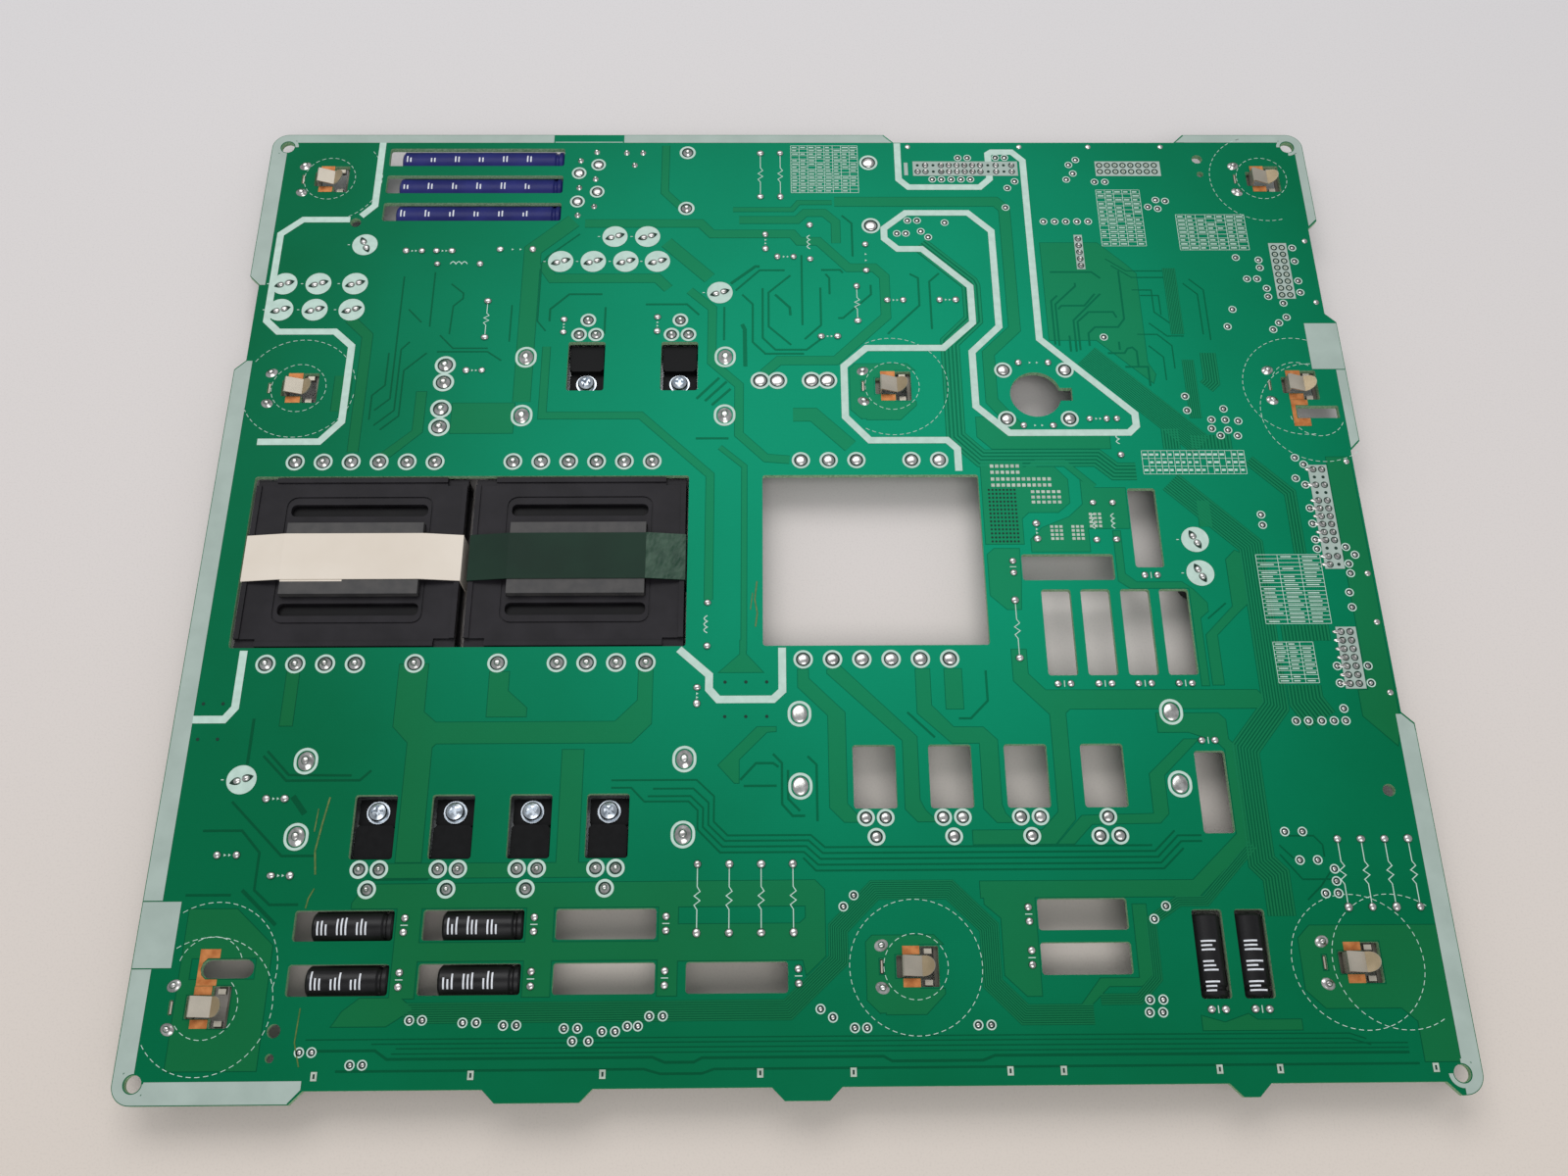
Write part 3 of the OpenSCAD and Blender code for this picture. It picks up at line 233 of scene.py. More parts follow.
# Painted reflection: tan tone for the tips of the clips' tongues
TONGUE_REFLECTION = surface("spring_painted_reflection", (148, 132, 104), (168, 151, 122), 0.36, metal=0.45, grain=160, bump=0.05)
NYLON = surface("white_nylon", (214, 208, 192), (228, 223, 210), 0.5, grain=300)
RESISTOR = surface("resistor_coat", (112, 136, 158), (132, 156, 178), 0.45, grain=600, bump=0.15)
DISC = surface("disc_coat", (40, 92, 160), (56, 112, 180), 0.3, grain=400, bump=0.2)
CASE = surface("film_case", (186, 146, 46), (204, 166, 66), 0.4, grain=300)
PRINT = surface("sleeve_print", (196, 198, 202), (212, 214, 218), 0.5, grain=900)
# Painted shade: near-black green laid in holes and slots, in print openings and in the gaps round joints
HOLE_SHADE = surface("painted_hole_shade", (10, 40, 30), (18, 50, 39), 0.7, grain=900)
RESIDUE = surface("flux_residue", (58, 92, 40), (92, 106, 52), 0.3, grain=700, bump=0.3)

# Depths below a rim where painted shade begins, the depth it takes to fade in, and the darkest share of the colour
SLOT_DEPTH, CLIP_DEPTH, RECESS_FADE, RECESS_SHADE = 1.5, 1.0, 0.5, 0.25


def shade_recesses(material, rim, depth):
    """Paint shade into a finish where it lies deeper than this below its rim's height, as in a recess."""
    tree = material.node_tree
    base = tree.nodes["Principled BSDF"].inputs["Base Color"]
    tone = add_node(tree, "MapRange", {
        "Value": axis_of(tree, object_place(tree), "Z"), "From Min": rim - (depth + RECESS_FADE) * MM,
        "From Max": rim - depth * MM, "To Min": RECESS_SHADE})
    shaded = colour_mix(tree, 1.0, base.links[0].from_socket, tone.outputs["Result"], "MULTIPLY")
    tree.links.new(shaded, base)


# Painted shade on the floors of the bobbin's slots and on the spring metal below the board's face
shade_recesses(PHENOLIC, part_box("transformer_1_bobbin")[1][2], SLOT_DEPTH)
shade_recesses(SPRING, TOP * MM, CLIP_DEPTH)

SLOT_MATERIALS = {
    "laminate": MASK, "bobbin": PHENOLIC, "ferrite": FERRITE, "copper_wire": WIRE, "tape_cream": CREAM,
    "tape_green": GREEN_TAPE, "tinned": TINNED, "moulding": EPOXY, "aluminium": ALUMINIUM, "plated_steel": ZINC,
    "blue_sleeve": BLUE, "black_sleeve": BLACK, "spring_metal": SPRING, "white_nylon": NYLON,
    "resistor_coat": RESISTOR, "disc_coat": DISC, "film_case": CASE, "solder": SOLDER,
}
for part in frame["record"]["subparts"]:
    node = frame["nodes"][part["node"]]
    node.data.materials.clear()
    node.data.materials.append(SLOT_MATERIALS[part["material_slot"]])


# Geometry helpers
FULL_TURN = 360.0
MITRE_LIMIT = 0.4
DASH_SHARE = 0.6


def add_piece(name, verts, faces, material, smooth=False):
    """A mesh from millimetre vertices that rides on the board."""
    mesh = bpy.data.meshes.new(name)
    mesh.from_pydata([Vector(v) * MM for v in verts], [], faces)
    mesh.materials.append(material)
    for polygon in mesh.polygons:
        polygon.use_smooth = smooth
    mesh.update()
    piece = bpy.data.objects.new(name, mesh)
    bpy.context.scene.collection.objects.link(piece)
    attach(piece, BODY)
    return piece


def circle_points(centre, radius, count, start=0.0, sweep=FULL_TURN):
    steps = count if sweep == FULL_TURN else count + 1
    angles = [math.radians(start + sweep * i / count) for i in range(steps)]
    return [(centre[0] + radius * math.cos(a), centre[1] + radius * math.sin(a)) for a in angles]


def mitred_sides(path, width):
    """Left and right points of a ribbon along a path, with mitred corners."""
    left, right = [], []
    for i, point in enumerate(path):
        here = Vector(point)
        before = (here - Vector(path[i - 1])).normalized() if i > 0 else None
        after = (Vector(path[i + 1]) - here).normalized() if i < len(path) - 1 else None
        before, after = before or after, after or before
        along = (before + after).normalized()
        across = Vector((-along.y, along.x))
        reach = width / 2 / max(across.dot(Vector((-before.y, before.x))), MITRE_LIMIT)
        left.append(tuple(here + across * reach))
        right.append(tuple(here - across * reach))
    return left, right


def shifted(path, distance):
    """The path moved sideways to its left."""
    return mitred_sides(path, 2 * distance)[0]


def rect_points(x0, x1, y0, y1):
    return [(x0, y0), (x1, y0), (x1, y1), (x0, y1)]


def quads(left, right):
    """Four-cornered faces between two rows of points."""
    return [[left[i], right[i], right[i + 1], left[i + 1]] for i in range(len(left) - 1)]


def squares_under(points):
    """Squares of the board, as column and row, that the points' bounding box touches."""
    spans = [(math.floor(min(c) / LEVEL_SQUARE), math.floor(max(c) / LEVEL_SQUARE)) for c in zip(*points)]
    columns, rows = (range(low, high + 1) for low, high in spans)
    return [(i, j) for i in columns for j in rows]


class Sheet:
    """Flat print or copper at one height over the solder face; each shape is a list of faces."""

    def __init__(self, lift):
        self.lift = TOP + lift
        self.shapes = []

    def shape(self, points):
        self.shapes.append([points])

    def rect(self, x0, x1, y0, y1):
        self.shape(rect_points(x0, x1, y0, y1))

    def bar(self, place, half_x, half_y):
        """Rectangle round its middle."""
        self.rect(place[0] - half_x, place[0] + half_x, place[1] - half_y, place[1] + half_y)

    def strip(self, path, width):
        self.shapes.append(quads(*mitred_sides(path, width)))

    def outline(self, points, width):
        """Ribbon round a closed shape."""
        sides = mitred_sides([points[-1]] + points + points[:2], width)
        self.shapes.append(quads(*(side[1:-1] for side in sides)))

    def ring(self, centre, outer, inner, count=28, start=0.0, sweep=FULL_TURN):
        rows = [circle_points(centre, radius, count, start, sweep) for radius in (inner, outer)]
        if sweep == FULL_TURN:
            rows = [row + row[:1] for row in rows]
        self.shapes.append(quads(*rows))

    def disc(self, centre, radius, count):
        self.shape(circle_points(centre, radius, count))

    def dashes(self, centre, radius, width, count, start, sweep):
        step = sweep / count
        for i in range(count):
            self.ring(centre, radius + width / 2, radius - width / 2, 3, start + i * step, step * DASH_SHARE)

    def grid(self, x0, x1, y0, y1, columns, rows, width):
        for i in range(columns + 1):
            x = x0 + (x1 - x0) * i / columns
            self.rect(x - width / 2, x + width / 2, y0, y1)
        for j in range(rows + 1):
            y = y0 + (y1 - y0) * j / rows
            self.rect(x0, x1, y - width / 2, y + width / 2)

    def build(self, name, material, slot="laminate"):
        """Lay each shape on the lowest level that is free in all the squares it touches."""
        taken = {}
        verts, faces = [], []
        for shape in self.shapes:
            squares = {square for points in shape for square in squares_under(points)}
            used = set().union(*(taken.get(square, set()) for square in squares))
            level = next(k for k in range(len(used) + 1) if k not in used)
            for square in squares:
                taken.setdefault(square, set()).add(level)
            for points in shape:
                faces.append(tuple(range(len(verts), len(verts) + len(points))))
                verts += [(x, y, self.lift + level * LEVEL_STEP) for x, y in points]
        add_piece(name, verts, faces, material)


class Turned:
    """Many small turned forms in one mesh; profiles run from the rim to the middle."""

    def __init__(self):
        self.verts, self.faces = [], []

    def add(self, centre, profile, segments=12, stretch=(1.0, 1.0), turn=0.0, lean=(0.0, 0.0)):
        first = len(self.verts)
        spin = math.radians(turn)
        for r, z in profile[:-1]:
            for i in range(segments):
                a = 2 * math.pi * i / segments
                u, v = r * stretch[0] * math.cos(a), r * stretch[1] * math.sin(a)
                x = u * math.cos(spin) - v * math.sin(spin) + lean[0] * z
                y = u * math.sin(spin) + v * math.cos(spin) + lean[1] * z
                self.verts.append((centre[0] + x, centre[1] + y, TOP + z))
        z = profile[-1][1]
        self.verts.append((centre[0] + lean[0] * z, centre[1] + lean[1] * z, TOP + z))
        tip = len(self.verts) - 1
        for ring in range(len(profile) - 2):
            a, b = first + ring * segments, first + (ring + 1) * segments
            for i in range(segments):
                j = (i + 1) % segments
                self.faces.append((a + i, a + j, b + j, b + i))
        last = first + (len(profile) - 2) * segments
        for i in range(segments):
            self.faces.append((last + i, last + (i + 1) % segments, tip))

    def build(self, name, material, slot="solder"):
        return add_piece(name, self.verts, self.faces, material, smooth=True)


# Profiles of solder joints as shares of their radius and height
CONE_SHARES = [(1.0, 0.0), (0.94, 0.12), (0.74, 0.3), (0.54, 0.5), (0.42, 0.72), (0.38, 0.96), (0.26, 1.04),
               (0.0, 1.06)]
BLOB_SHARES = [(1.0, 0.0), (0.97, 0.3), (0.8, 0.68), (0.5, 0.92), (0.0, 1.0)]


def cone(radius, height):
    """Concave fillet of solder up to the tip of a lead."""
    return [(radius * r, height * h) for r, h in CONE_SHARES]


def blob(radius, height):
    """Rounded bead of solder."""
    return [(radius * r, height * h) for r, h in BLOB_SHARES]


def jitter(amount):
    return rng.uniform(-amount, amount)


def uneven(amount):
    """A joint's stretch by chance."""
    return 1 + jitter(amount), 1 + jitter(amount)


def slant(amount):
    """A joint's lean by chance."""
    return jitter(amount), jitter(amount)


# Places on the solder face

CLIP_JOINT_X = [-153.5, -153.8, 20.8, 141.5, 141.5, -153.8, 20.3, 130.8]
CLIP_Y = [128.2, 51.9, 52.2, 128.2, 52.2, -123.2, -114.7, -114.5]
CLIPS = list(zip(CLIP_JOINT_X, CLIP_Y))
PIN_PITCH, PIN_COUNT = 8.0, 6
TRANSFORMER_X = (-123.0, -60.7)
BACK_PIN_Y, FRONT_PIN_Y = 27.25, -34.25
FRONT_GAPS = (4, 1)


def pin_x(transformer, index):
    return TRANSFORMER_X[transformer] + (index - (PIN_COUNT - 1) / 2) * PIN_PITCH


def fet_joints(places_x, half, row_y, middle_y):
    """Three joints of each transistor: two in a row, half their spacing from its middle, and one behind or before."""
    return [(x + dx, y) for x in places_x for dx, y in ((-half, row_y), (half, row_y), (0, middle_y))]


def cross_places(places_x, places_y):
    return [(x, y) for x in places_x for y in places_y]


def upright_pairs(places_x, low, high):
    """Pairs of joints one behind the other."""
    return [((x, low), (x, high)) for x in places_x]


PINS = [(pin_x(t, i), BACK_PIN_Y) for t in (0, 1) for i in range(PIN_COUNT)]
PINS += [(pin_x(t, i), FRONT_PIN_Y) for t in (0, 1) for i in range(PIN_COUNT) if i != FRONT_GAPS[t]]
SPARE_PINS = [(x, 27.4) for x in (2.1, 10.1, 18.1, 34.0, 42.0)]
SPARE_PINS += [(1.9 + 7.95 * i, -33.6) for i in range(PIN_COUNT)]
FET_JOINTS = fet_joints([-109.2 + 20 * i for i in range(4)], 2.54, -89.8, -94.9)
FET_JOINTS += fet_joints((-61.3, -33.6), 2.54, 70.2, 75.3)
SPARE_FET_JOINTS = fet_joints((20.1, 40.1, 60.25), 2.55, -77.2, -82.2)
SPARE_FET_JOINTS += [(80.4, -77.3), (77.85, -82.3), (83.0, -82.3)]
SINK_LEGS = cross_places((-128.7, -29.7), (-61.3, -81.3)) + cross_places((-79.2, -20.0), (62.3, 42.4))
SPARE_LEGS = cross_places((0.7, 100.1), (-49.0, -68.75))
FILTER_PINS = [(-102.9, y) for y in (59.6, 53.7, 44.7, 38.7)]
FILM_PINS = [(-32.6, 138.6), (-32.6, 116.7)]
SPARE_RINGS = [(x, 54.1) for x in (-9.55, -4.5, 5.6, 10.3)] + [(25.0, 134.6), (25.0, 110.05)]
HOLE_RINGS = cross_places((62.6, 81.0), (57.5, 40.9))
BULK_RINGS = [(-66.8, 130.5), (-66.8, 119.4), (-60.8, 133.8), (-60.8, 123.2)]
BULK_PITCH = 10.65
BULK_JOINTS = [(x, y - BULK_PITCH * i) for x, y in ((-66.5, 135.5), (-61.5, 138.9)) for i in range(3)]
LONE_JOINTS = [(-52, 138.6), (-46.8, 138.6), (-49.3, 133.7)]
EDGE_JOINTS = [(x, 141) for x in (37.8, 73.6, 95.8, 119.1)]
EDGE_JOINTS += [(160, y) for y in (104.1, 81.4, 26.5, -8.8, -23.4, -43.8)]
SLOTTED_PADS = [(x, -139.4) for x in (-117, -79.5, -47.85, -9.9, 12.6, 50.5, 63.4, 101.2, 115.9, 153.8)]

UPRIGHTS = cross_places((-154.2, -143.9, -132.8), (88.6, 79.2))
UPRIGHTS += [(-54.5, 106), (-44.4, 106)] + [(x, 96.7) for x in (-70.8, -60.8, -50.8, -41.1)]
UPRIGHTS += [(-21.8, 85.2), (-144.8, -66.2)]
UPRIGHTS_TURNED = [(-131.4, 103), (112.9, 1.8), (113.1, -8.5)]

OUTPUT_PAIRS = cross_places((-98.9, -66.5, -33.5), (-103.8, -117.05))
OUTPUT_PAIRS += [(-0.4, -116.8), (57.8, -102.1), (57.8, -112.8), (60.9, -6.4)]
OUTPUT_PAIRS_TURNED = [(102.75, -125.5), (113.55, -125.5), (72.25, -40.9), (83.25, -40.9), (94.05, -40.9)]
OUTPUT_PAIRS_TURNED += [(105.0, -40.9), (109.05, -56.9), (99.25, -9.1)]

RESISTORS = upright_pairs((-9.4, -3.1), 121.2, 138.3) + [((-92, 69.3), (-92, 82.2)), ((19.9, 75), (19.9, 87.5))]
RESISTORS += [((60.7, -33.5), (60.7, -16.5))] + upright_pairs([-25.8 + 8.1 * i for i in range(4)], -106.2, -89)
RESISTORS += upright_pairs([139 + 6.1 * i for i in range(4)], -100.9, -83.5)
COILS = [((-108.5, 95.8), (-95.4, 95.8)), ((5.9, 97.5), (5.9, 110.3)), ((-24.2, -29.6), (-24.2, -16.9))]
COILS += [((94.8, 28.9), (94.8, 40.9)), ((90.7, 1.9), (90.7, 13.5)), ((85.1, 1.8), (85.1, 13.5))]
DISCS = [((-118.5, 100.7), (-113.7, 100.7)), ((-109.2, 100.7), (-104.4, 100.7)), ((-68.6, 71.1), (-68.6, 75.6))]
DISCS += [((-40.5, 71.4), (-40.5, 76.4)), ((-96.6, 57.8), (-92, 57.8)), ((-7.9, 101.4), (-7.9, 106.7))]
DISCS += [((-4.2, 98.4), (0.8, 98.4)), ((29.1, 82.4), (33.9, 82.4)), ((45, 82.5), (49.9, 82.5))]
DISCS += [((8.8, 69.5), (13.7, 69.5)), ((86.8, 40.9), (91.8, 40.9)), ((68.4, 2.2), (68.4, 7))]
DISCS += [((-137.7, -71.3), (-132.9, -71.3)), ((-148.1, -85.9), (-143.2, -85.9)), ((-133.8, -91.2), (-129, -91.2))]
DISCS += [((-26.7, -46), (-26.7, -41.5))]
DIODES = [((-89.7, 101.2), (-79.6, 101.2)), ((23, 93.3), (23, 103)), ((67.3, 60.1), (76.2, 60.1))]
DIODES += [((67.3, 38.7), (76, 38.7))]

TEST_PADS = [
    (53.65, 136.5), (56.7, 136.5), (65.7, 136.6), (68.6, 136.6), (45.1, 128), (48, 128), (51.1, 128), (54.2, 128),
    (57.2, 128), (71.2, 127.2), (68.7, 124.6), (67.6, 117), (36.5, 112), (39.5, 112), (48.1, 111.2), (33, 107.1),
    (35.8, 107.1), (40.5, 107.9), (42.7, 105.7), (91.3, 135.7), (88.9, 133.7), (90, 130.3), (87.7, 127.9),
    (96.6, 127), (99.9, 127), (115.2, 119.9), (118.2, 119.5), (112.5, 117.2), (115.5, 116.5), (137.6, 97.9),
    (144.55, 97), (144.55, 94.1), (140, 90), (143.1, 90), (145.6, 86.5), (145.6, 83.5), (155.7, 101.5), (155.7, 96.5),
    (155.7, 89.2), (155.7, 85), (149.9, 81.1), (150.1, 76), (147.5, 74), (145.4, 71.6), (134, 78.85), (131.7, 72.7),
    (93.8, 69), (115.8, 48.4), (115.8, 43.6), (126.6, 44.1), (122.6, 40.5), (126.65, 40.4), (130.4, 40), (122.3, 37.5),
    (127, 37), (124.6, 35.2), (129.6, 35.1), (145.2, 27.8), (147.4, 25.6), (144.4, 21.1), (146.9, 19), (147, 11.5),
    (147, 6.65), (147, 1.65), (147, -1.25), (155.2, -0.7), (155.2, -5.85), (155.2, -8.75), (157.4, -3.1), (132.7, 9.5),
    (132.7, 6.25), (153.9, -14.55), (153.9, -19), (146.9, -36.2), (146.9, -41.1), (155.3, -36.2), (155.3, -41.1),
    (146.65, -48.3), (133.3, -51.7), (136.6, -51.7), (140.2, -51.7), (143.5, -51.7), (146.65, -51.7), (125.7, -81.5),
    (130.3, -81.5), (128.5, -88.9), (133.1, -88.9), (137.05, -91.2), (137.05, -94.3), (137.05, -97.4), (133.8, -97.4),
    (92.7, -100.3), (89.4, -103.5), (86.1, -123.1), (89.4, -123.1), (85.7, -126.1), (89, -126.1), (43.4, -128.75),
    (46.6, -128.75), (13.8, -97.1), (11.1, -99.9), (4.9, -124.7), (7.9, -126.7), (13.2, -129.2), (16.2, -129.2),
    (-33.7, -126.1), (-37, -126.1), (-42.3, -128.4), (-39.7, -128.4), (-48.4, -129.6), (-45.2, -129.6),
    (-57.7, -128.8), (-54.4, -128.8), (-55.5, -131.8), (-51.6, -131.8), (-72.5, -128), (-69.3, -128), (-82.4, -127.3),
    (-79.1, -127.3), (-95.4, -126.65), (-92.3, -126.65), (-121.2, -133.9), (-118.2, -133.9), (-108.7, -136.9),
    (-105.7, -136.9),
]
TEST_PADS += [(79.1 + 3.5 * i, 111.6) for i in range(5)]

HEADER_PITCH = 2.5
TOP_HEADER_GAPS = {(0, 1), (2, 0), (2, 1), (9, 0), (9, 1), (11, 0), (11, 1)}
RIGHT_HEADER_GAPS = {(1, 0), (1, 1), (3, 0), (3, 1), (10, 0), (10, 1), (12, 1)}


def header_places(first, columns, rows, step, across, gaps=()):
    """Contacts of a header from its first place; step and across are the pitch vectors."""
    return [
        (first[0] + i * step[0] + j * across[0], first[1] + i * step[1] + j * across[1])
        for i in range(columns) for j in range(rows) if (i, j) not in gaps
    ]


TOP_HEADER_AT, RIGHT_HEADER_AT = (40.6, 131.05), (149.85, 23.95)
TOP_HEADER = header_places(TOP_HEADER_AT, 13, 2, (HEADER_PITCH, 0), (0, HEADER_PITCH), TOP_HEADER_GAPS)
RIGHT_HEADER = header_places(RIGHT_HEADER_AT, 13, 2, (0, -HEADER_PITCH), (HEADER_PITCH, 0), RIGHT_HEADER_GAPS)
LOW_HEADER = header_places((149.55, -26.25), 7, 2, (0, -HEADER_PITCH), (HEADER_PITCH, 0))
SMALL_HEADER = header_places((89.3, 105), 5, 1, (0, -HEADER_PITCH), (0, 0))
SPARE_TOP = header_places((98.7, 131.05), 8, 2, (HEADER_PITCH, 0), (0, HEADER_PITCH))
SPARE_RIGHT = header_places((149.95, 101.6), 8, 2, (0, -HEADER_PITCH), (HEADER_PITCH, 0))


# Copper under the mask: pours as outlines
POURS = [
    [(-106.9, -34.5), (-99.2, -34.5), (-99.2, -48), (-95.8, -50.9), (-48.3, -50.9), (-42.5, -45), (-42.5, -36),
     (-38.7, -36), (-38.7, -51.5), (-43.8, -56.7), (-95.2, -56.7), (-96.2, -57.8), (-96.2, -88), (-102.7, -88),
     (-102.7, -56.4), (-106.9, -52)],
    [(-82.5, -36.8), (-77.3, -36.8), (-77.3, -42.2), (-72, -47), (-72, -49.4), (-82.5, -49.4)],
    [(-112.5, -98.3), (-109.5, -93.6), (4, -93.2), (6.4, -95.6), (6.4, -99.6), (-112.5, -99.6)],
    [(-30.5, -104), (0, -104), (1.6, -102.6), (1.6, -99.6), (6.4, -99.6), (6.4, -112), (1.6, -116.5), (0.8, -112.9),
     (-30.5, -112.9)],
    [(-114.2, -128), (-112, -124.5), (-108, -121.4), (-98, -121.4), (-94.8, -124), (-101, -128)],
    [(-152.9, -99.5), (-141, -99.5), (-131, -108.5), (-131, -111.5), (-152.9, -111.5)],
    [(-20.8, -63), (-10.6, -52.6), (-5.6, -52.6), (-5.6, -53.8), (-8, -54), (-15.4, -61.5), (-15.4, -67.8),
     (-16.5, -67.8)],
    [(-20.8, -37.2), (-9, -37.2), (-13.6, -32), (-13.6, -28), (-15.2, -28), (-15.2, -32)],
    [(0.4, -36.5), (3.2, -36.5), (3.2, -39), (12.8, -48.7), (12.8, -73.5), (14.6, -75.6), (17, -78.3), (12, -78.3),
     (8.3, -74.5), (8.3, -49.5), (0.4, -41.5)],
    [(8.3, -36.6), (11.9, -35.6), (31.7, -55.5), (31.7, -72.5), (33, -75.3), (36, -78.3), (31, -78.3), (27.9, -75),
     (27.9, -56.5), (8.3, -37.6)],
    [(32.2, -36.5), (36, -36.5), (36, -46.8), (41.6, -52.9), (49.5, -53), (53, -56.5), (53, -74), (53.8, -76.3),
     (56, -78.6), (51.5, -78.6), (48.3, -75), (48.3, -57.3), (41, -57.3), (32.2, -49)],
    [(58.6, -31), (62.6, -31), (62.6, -38), (67, -42.7), (124, -42.9), (125.2, -44.4), (125.2, -46.6), (123.8, -48),
     (73, -48), (71.8, -49.2), (71.8, -78), (66.2, -84.3), (45, -84.3), (45, -80.7), (63, -80.7), (67.6, -76),
     (67.6, -49.5), (58.6, -40)],
    [(96, -54.6), (96, -49.4), (112.6, -49.4), (114.4, -51.2), (114.4, -56.6), (115.9, -58.2), (115.9, -84.6),
     (101.6, -97.9), (46, -97.9), (46, -93.8), (100.4, -93.8), (113.2, -82), (113.2, -59.4), (111, -57),
     (104, -54.6)],
    [(102.6, -56.6), (106.4, -56.6), (96.2, -66.4), (96.2, -76.6), (93.8, -79), (76, -79.2), (71, -84.3),
     (66.8, -84.3), (73.6, -77), (92.4, -76.6), (92.4, -66)],
    [(46.8, -97.9), (59.6, -97.9), (59.6, -122), (56, -122), (50.8, -117), (50.8, -103), (46.8, -99.5)],
    [(84.2, -99.8), (87.6, -99.8), (87.6, -117), (84.6, -119.8), (76.4, -119.8), (71.4, -124.4), (69, -124.4),
     (74.4, -117.9), (84.2, -117.9)],
    [(125, -108.5), (128.2, -105.4), (130, -105.4), (130, -125.4), (129.4, -125.4), (125, -121)],
    [(148, -125.4), (151.5, -128.6), (151.5, -138), (160.2, -138), (160.2, -125.4)],
    [(98.4, -127), (104, -128.6), (110, -126.6), (112, -128), (122.8, -128), (122.8, -130.4), (98.4, -130.4)],
    [(53.5, 41.5), (57, 41.5), (63.5, 35.5), (92, 35.5), (92, 31), (57.5, 31), (53.5, 35)],
    [(53.8, 27), (66, 27), (66, 25), (75, 25), (78.5, 21), (78.5, 13.5), (75, 10.5), (66.5, 10.5), (64.5, 8.5),
     (64.5, 0.6), (53.8, 0.6)],
    [(82.2, 20.6), (86.2, 18.2), (94.8, 18.2), (94.8, 5.4), (83, 5.4), (83, -1.8), (66.6, -1.8), (66.6, 2), (70, 5.6),
     (78, 9), (82.2, 13)],
    [(54, -2.6), (56, -0.8), (63, -0.8), (62.9, -9.4), (62.2, -19.2), (58.4, -19.2), (54, -15)],
    [(90, 4.6), (92, 4.6), (92, -8.6), (95, -11.2), (107.6, -11.2), (110.4, -13.4), (113.8, -17.5), (113.8, -20),
     (111.4, -22), (111.4, -41.6), (109.4, -41.6), (109.4, -13), (93, -13), (90, -10.8)],
    [(120.8, -4.4), (123.6, -1.6), (125.4, -2.6), (125.4, -17.5), (122, -20.5), (115.4, -27), (115.4, -41.4),
     (112.4, -41.4), (112.4, -27), (120.8, -18.6)],
    [(154.2, 28), (161.2, 28), (161.2, -52), (159.4, -58.6), (151.5, -50.4), (151.5, -43.2), (154.2, -43)],
    [(77.3, 103.5), (95, 103.5), (103, 95.5), (106, 92), (106, 60), (108, 56), (107, 53), (91.5, 68), (77.3, 68)],
    [(-110.5, 50.5), (-107.6, 50.5), (-107.6, 37), (-116, 29), (-120, 29), (-110.5, 37.5)],
]
# Pours with square corners as (x0, x1, y0, y1); the last lines go round the windows of the corner clips
RECT_POURS = [
    (-136.9, -133.6, -51.6, -36.6), (-61.8, -56.2, -88.5, -58.6), (-100.9, -94.9, -121.5, -99.6),
    (-68.4, -61.7, -121.3, -99.6), (-35.3, -30.5, -121.3, -99.6), (-94.9, -68.4, -112.6, -108.2),
    (-61.7, -35.3, -112.6, -108.2), (40, 44.6, -47.8, -36.5), (-99.6, -81.5, 36.6, 46.6),
    (-152.9, -150.5, -138, -111.5), (-134.4, -131, -138, -111.5), (-150.5, -134.4, -117.9, -116.7),
    (-150.5, -134.4, -138, -128.5), (-139.3, -134.4, -128.5, -117.9), (-150.5, -144.5, -120.2, -117.9),
    (-150.5, -144.5, -128.5, -126.2), (131.6, 134.1, -125.4, -105.4), (130, 131.6, -112.4, -105.4),
    (130, 131.6, -125.4, -116.6), (134.1, 145.3, -109.2, -105.4), (134.1, 145.3, -125.4, -119.8),
    (134.1, 140.1, -111.5, -109.2), (134.1, 140.1, -119.8, -117.5), (145.3, 160.2, -125.4, -105.4),
]
# Wide tracks as (width, path)
STRIPS = [
    (2.2, [(-39.5, 141.5), (-39.5, 123), (-34.5, 117.5)]), (5, [(-67.5, 112), (-79.6, 101), (-79.6, 47)]),
    (2.8, [(-64, 111), (-28, 111), (-24.5, 107), (0.5, 107), (2.5, 104.2), (8.5, 104.2), (17.5, 94.3), (25.5, 94.3),
           (28.5, 91), (28.5, 76.5), (13, 61), (-4, 61), (-8.5, 56.6)]),
    (2.6, [(-16, 112.3), (2, 112.3), (4.5, 115), (10.5, 115), (14, 111.5), (14, 103.5)]),
    (1.5, [(-18, 116.3), (0.5, 116.3), (2.5, 119), (13, 119)]),
    (2.2, [(-73.3, 66), (-73.3, 42.4), (-44.5, 42.4), (-24, 22.7), (-24, -16)]), (4, [(-38.5, 103.8), (-25, 90.5)]),
    (3, [(-76.5, 96), (-73, 90.5), (-41, 90.5), (-37.5, 86.7)]), (1.4, [(-21.3, 31.8), (-14.2, 25.5), (-14.2, -31)]),
    (2.4, [(-31, 86), (-24, 79.5), (-24, 60.5), (-15.8, 52.5), (-15.8, 36), (-8, 28.2), (-1.2, 27.6)]),
    (3, [(-133, 76), (-127, 70), (-127, 30.5)]),
    (3.4, [(13.8, 119.3), (64.5, 119.3), (67.1, 116.5), (67.1, 72), (58.6, 63.4), (58.6, 47), (66, 37.4)]),
    (4.2, [(0, 42.5), (6, 42.5), (16.5, 32)]), (1.8, [(66.5, 23.6), (70, 26.4), (78, 26.4), (86, 18.5)]),
    (3.6, [(116.6, 14), (116.6, 5.8)]), (5, [(-132.4, 56), (-132.4, 44)]), (3.6, [(-105.2, -90.2), (-93, -90.2)]),
    (3.6, [(-85, -90.2), (-73, -90.2)]), (3.6, [(-65, -90.2), (-53, -90.2)]),
]
